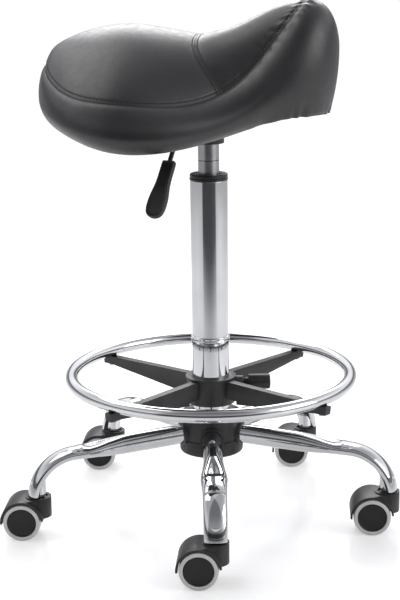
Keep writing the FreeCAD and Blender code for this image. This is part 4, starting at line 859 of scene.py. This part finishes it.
def swell(grid):
    """How far each point moves when the leather settles."""
    step_round, step_down = 4, 3
    keep_rows = sorted({*range(0, EDGE_ROW + 1, step_down), SEAM_ROW, EDGE_ROW})
    coarse = grid[keep_rows][:, ::step_round]
    count = coarse.shape[1]
    points = to_metres(coarse)
    faces = ring_faces(len(coarse), count, caps=False)
    cloth_piece = new_mesh("leather_cloth", points, faces, black_plastic)
    held = cloth_piece.vertex_groups.new(name="held")
    for number, row in enumerate(keep_rows):
        for column in range(count):
            seam = math.exp(-((seam_mm[row, column * step_round] / GRIP_REACH) ** 2))
            waist = math.exp(-((waist_mm[row, column * step_round] / GRIP_REACH) ** 2))
            grip = max(seam, waist, float(row == EDGE_ROW))
            if grip > 0.02:
                held.add([number * count + column], grip, "REPLACE")
    cloth = cloth_piece.modifiers.new("Cloth", "CLOTH")
    cloth.settings.quality = 6
    cloth.settings.mass = 0.4
    cloth.settings.tension_stiffness = cloth.settings.compression_stiffness = 18
    cloth.settings.bending_stiffness = 2.5
    cloth.settings.vertex_group_mass = "held"
    cloth.settings.use_pressure = True
    cloth.settings.uniform_pressure_force = 40.0
    cloth.settings.effector_weights.gravity = 0
    for number in range(1, CLOTH_FRAMES + 1):
        scene.frame_set(number)
    shaped = cloth_piece.evaluated_get(bpy.context.evaluated_depsgraph_get()).to_mesh()
    spots = np.empty(len(points) * 3)
    shaped.vertices.foreach_get("co", spots)
    moved = (spots.reshape(-1, 3) - np.array(points)) / MM
    scene.frame_set(1)
    bpy.data.objects.remove(cloth_piece)
    moved = np.column_stack([-moved[:, 1], -moved[:, 0], moved[:, 2]])
    moved = moved.reshape(len(coarse), count, 3)
    size = np.linalg.norm(moved, axis=-1, keepdims=True)
    moved *= np.minimum(1.0, CLOTH_CAP / np.maximum(1e-6, size))
    full = np.zeros_like(grid)
    columns = np.arange(COLUMNS)
    coarse_columns = np.arange(0, COLUMNS + 1, step_round)
    for axis in range(3):
        lines = [np.append(line, line[0]) for line in moved[..., axis]]
        wide = np.array([np.interp(columns, coarse_columns, line) for line in lines])
        for column in columns:
            moves = np.interp(np.arange(EDGE_ROW + 1), keep_rows, wide[:, column])
            full[: EDGE_ROW + 1, column, axis] = moves
    return full


rows = rows + swell(rows)


# Leather: chrome-tanned cowhide with a smooth pigmented finish; a fine pore grain and a soft
# sheen. The grain is drawn at 1.6 mm, coarser than the real 0.6 mm, so that it shows. It is
# closed up in the seams, and painted shade darkens the seams and the stitch rows beside them.
leather, tree, shader = new_material("leather")


def named(tree, attribute):
    """A value that each point of the mesh carries."""
    node = add_node(tree, "ShaderNodeAttribute")
    node.attribute_name = attribute
    return node.outputs["Fac"]


def groove(tree, distance, half_width):
    """1 on the line, falling to 0 at the half width."""
    return step_up(tree, maths(tree, "ABSOLUTE", distance), 0.0, half_width, 1.0, 0.0)


seam_line = named(tree, "seam_mm")
waist_line = named(tree, "waist_mm")
cloud = pattern(tree, "ShaderNodeTexNoise", 55, Detail=2.0)
pores = pattern(tree, "ShaderNodeTexVoronoi", 1.6)
creases = pattern(tree, "ShaderNodeTexNoise", 9, Detail=5.0, Roughness=0.6)
# Painted shade: the seam and waist grooves and the stitch rows are darkened in colour, standing in for
# the shade of grooves too narrow to shade themselves. The same mask sinks them in the bump and
# roughens them.
groove_and_shade = maths(tree, "MAXIMUM", groove(tree, seam_line, 1.3), groove(tree, waist_line, 0.8))
waist_gap = maths(tree, "SUBTRACT", maths(tree, "ABSOLUTE", waist_line), WAIST_STITCH)
seam_gap = maths(tree, "SUBTRACT", seam_line, SEAM_STITCH)
row_gap = maths(tree, "MINIMUM", maths(tree, "ABSOLUTE", waist_gap), maths(tree, "ABSOLUTE", seam_gap))
groove_and_shade = maths(tree, "MAXIMUM", groove_and_shade, maths(tree, "MULTIPLY", groove(tree, row_gap, 1.2), 0.75))
tone = ramp(tree, cloud.outputs["Fac"], "#1f1f21", "#272729")
# Painted shade: near black mixed into the leather's tone along the grooves and stitch rows.
dark = add_node(tree, "ShaderNodeMix", [(groove_and_shade, "Factor"), (tone, "A")], data_type="RGBA")
dark.inputs["B"].default_value = linear("#0c0c0d")
tree.links.new(dark.outputs["Result"], shader.inputs["Base Color"])
shader.inputs["IOR"].default_value = 1.55
shader.inputs["Coat Weight"].default_value = 0.22
shader.inputs["Coat Roughness"].default_value = 0.35
sheen = step_up(tree, creases.outputs["Fac"], 0.3, 0.7, 0.35, 0.45)
tree.links.new(maths(tree, "MULTIPLY_ADD", groove_and_shade, 0.3, sheen), shader.inputs["Roughness"])
relief = maths(tree, "MULTIPLY", pores.outputs["Distance"], 0.16)
relief = maths(tree, "MULTIPLY_ADD", creases.outputs["Fac"], 0.28, relief)
relief = maths(tree, "MULTIPLY_ADD", groove_and_shade, -1.0, relief)
bump(tree, shader, relief, 0.55, 0.8)

# Seat: panels, band and hem in one skin, closed over the top and under the board.
points = to_metres(rows)
points.append((0, -SEAT_MIDDLE * MM, (rows[0][:, 2].mean() + 0.05) * MM))
points.append((0, -SEAT_MIDDLE * MM, (BOARD_UNDER + 2.5) * MM))
top_middle, under_middle = len(points) - 2, len(points) - 1
faces = ring_faces(len(rows), COLUMNS, caps=False)
last_row = (len(rows) - 1) * COLUMNS
for column in range(COLUMNS):
    after = (column + 1) % COLUMNS
    faces.append((after, column, top_middle))
    faces.append((last_row + column, last_row + after, under_middle))
seat = new_mesh("seat", points, faces, leather)
for name, values in (("seam_mm", seam_mm), ("waist_mm", waist_mm)):
    layer = seat.data.attributes.new(name, "FLOAT", "POINT")
    layer.data.foreach_set("value", np.append(values.ravel(), (FAR, FAR)))
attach(seat, "seat")
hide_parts("seat_cover", "seat_foam")

# Seam thread: black polyester in stitches about 4 mm long, one row beside the seam all round
# the top and two along the waist. It is a little lighter than the leather, so the stitches show.
thread = plastic("thread", "#343436", "#3e3e40", 0.6, 0.5, 0.05)
STITCH_PITCH, STITCH_LENGTH, STITCH_RADIUS, STITCH_SIDES = 5.2, 3.9, 0.42, 6
skin = BVHTree.FromObject(seat, bpy.context.evaluated_depsgraph_get())
stitch_points = []
stitch_faces = []


def lay_stitch(start, end):
    """A short capsule between two (place, normal) ends, its tips sunk in the leather."""
    first = len(stitch_points)
    run = end[0] - start[0]
    up = (start[1] + end[1]).normalized()
    side = run.cross(up).normalized()
    sections = [(0.0, 0.25, -0.7), (0.12, 0.8, -0.1), (0.35, 1.0, 0.35), (0.65, 1.0, 0.35)]
    sections += [(0.88, 0.8, -0.1), (1.0, 0.25, -0.7)]
    for share, girth, rise in sections:
        middle = start[0] + run * share + up * rise * STITCH_RADIUS * MM
        for corner in range(STITCH_SIDES):
            turn = 2 * math.pi * corner / STITCH_SIDES
            spoke = side * math.cos(turn) + up * math.sin(turn)
            stitch_points.append(middle + spoke * girth * STITCH_RADIUS * MM)
    stitch_faces.extend(ring_faces(len(sections), STITCH_SIDES, first))


def sew(track):
    """Lays stitches along a track of points given as (forward, sideways, up) rows."""
    gaps = np.linalg.norm(np.diff(track, axis=0), axis=-1)
    lengths = np.concatenate([[0.0], np.cumsum(gaps)])
    for number in range(int(lengths[-1] / STITCH_PITCH)):
        ends = []
        for place in (number * STITCH_PITCH, number * STITCH_PITCH + STITCH_LENGTH):
            spot = [np.interp(place, lengths, track[:, axis]) for axis in range(3)]
            near = Vector((-spot[1], -spot[0], spot[2])) * MM
            found, normal, _, _ = skin.find_nearest(near)
            ends.append((found + normal * STITCH_RADIUS * 0.35 * MM, normal))
        lay_stitch(*ends)


def seam_track(distance):
    """Points all round the top panels, at a distance above the seam."""
    track = []
    for column in (*range(COLUMNS), 0):
        away, line = seam_mm[SEAM_ROW::-1, column], rows[SEAM_ROW::-1, column]
        track.append([np.interp(distance, away, line[:, axis]) for axis in range(3)])
    return np.array(track)


def waist_track(distance):
    """Points over the top panel at a distance from the waist seam's line."""
    track = []
    for share in np.linspace(-0.985, 0.985, 90):
        slant = -4 * WAIST_SWEEP * share**3 / waist_half
        steep = math.hypot(1, slant)
        forward = WAIST_EDGE - WAIST_SWEEP * (1 - share**4) + distance / steep
        sideways = waist_half * share + distance * slant / steep
        at = Vector((-sideways, -forward, 800)) * MM
        hit = skin.ray_cast(at, Vector((0, 0, -1)))[0]
        if hit:
            track.append((forward, sideways, hit.z / MM))
    return np.array(track)


sew(seam_track(SEAM_STITCH))
sew(waist_track(WAIST_STITCH))
sew(waist_track(-WAIST_STITCH))
stitches = new_mesh("seam_thread", stitch_points, stitch_faces, thread)
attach(stitches, "seat")

low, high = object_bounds()
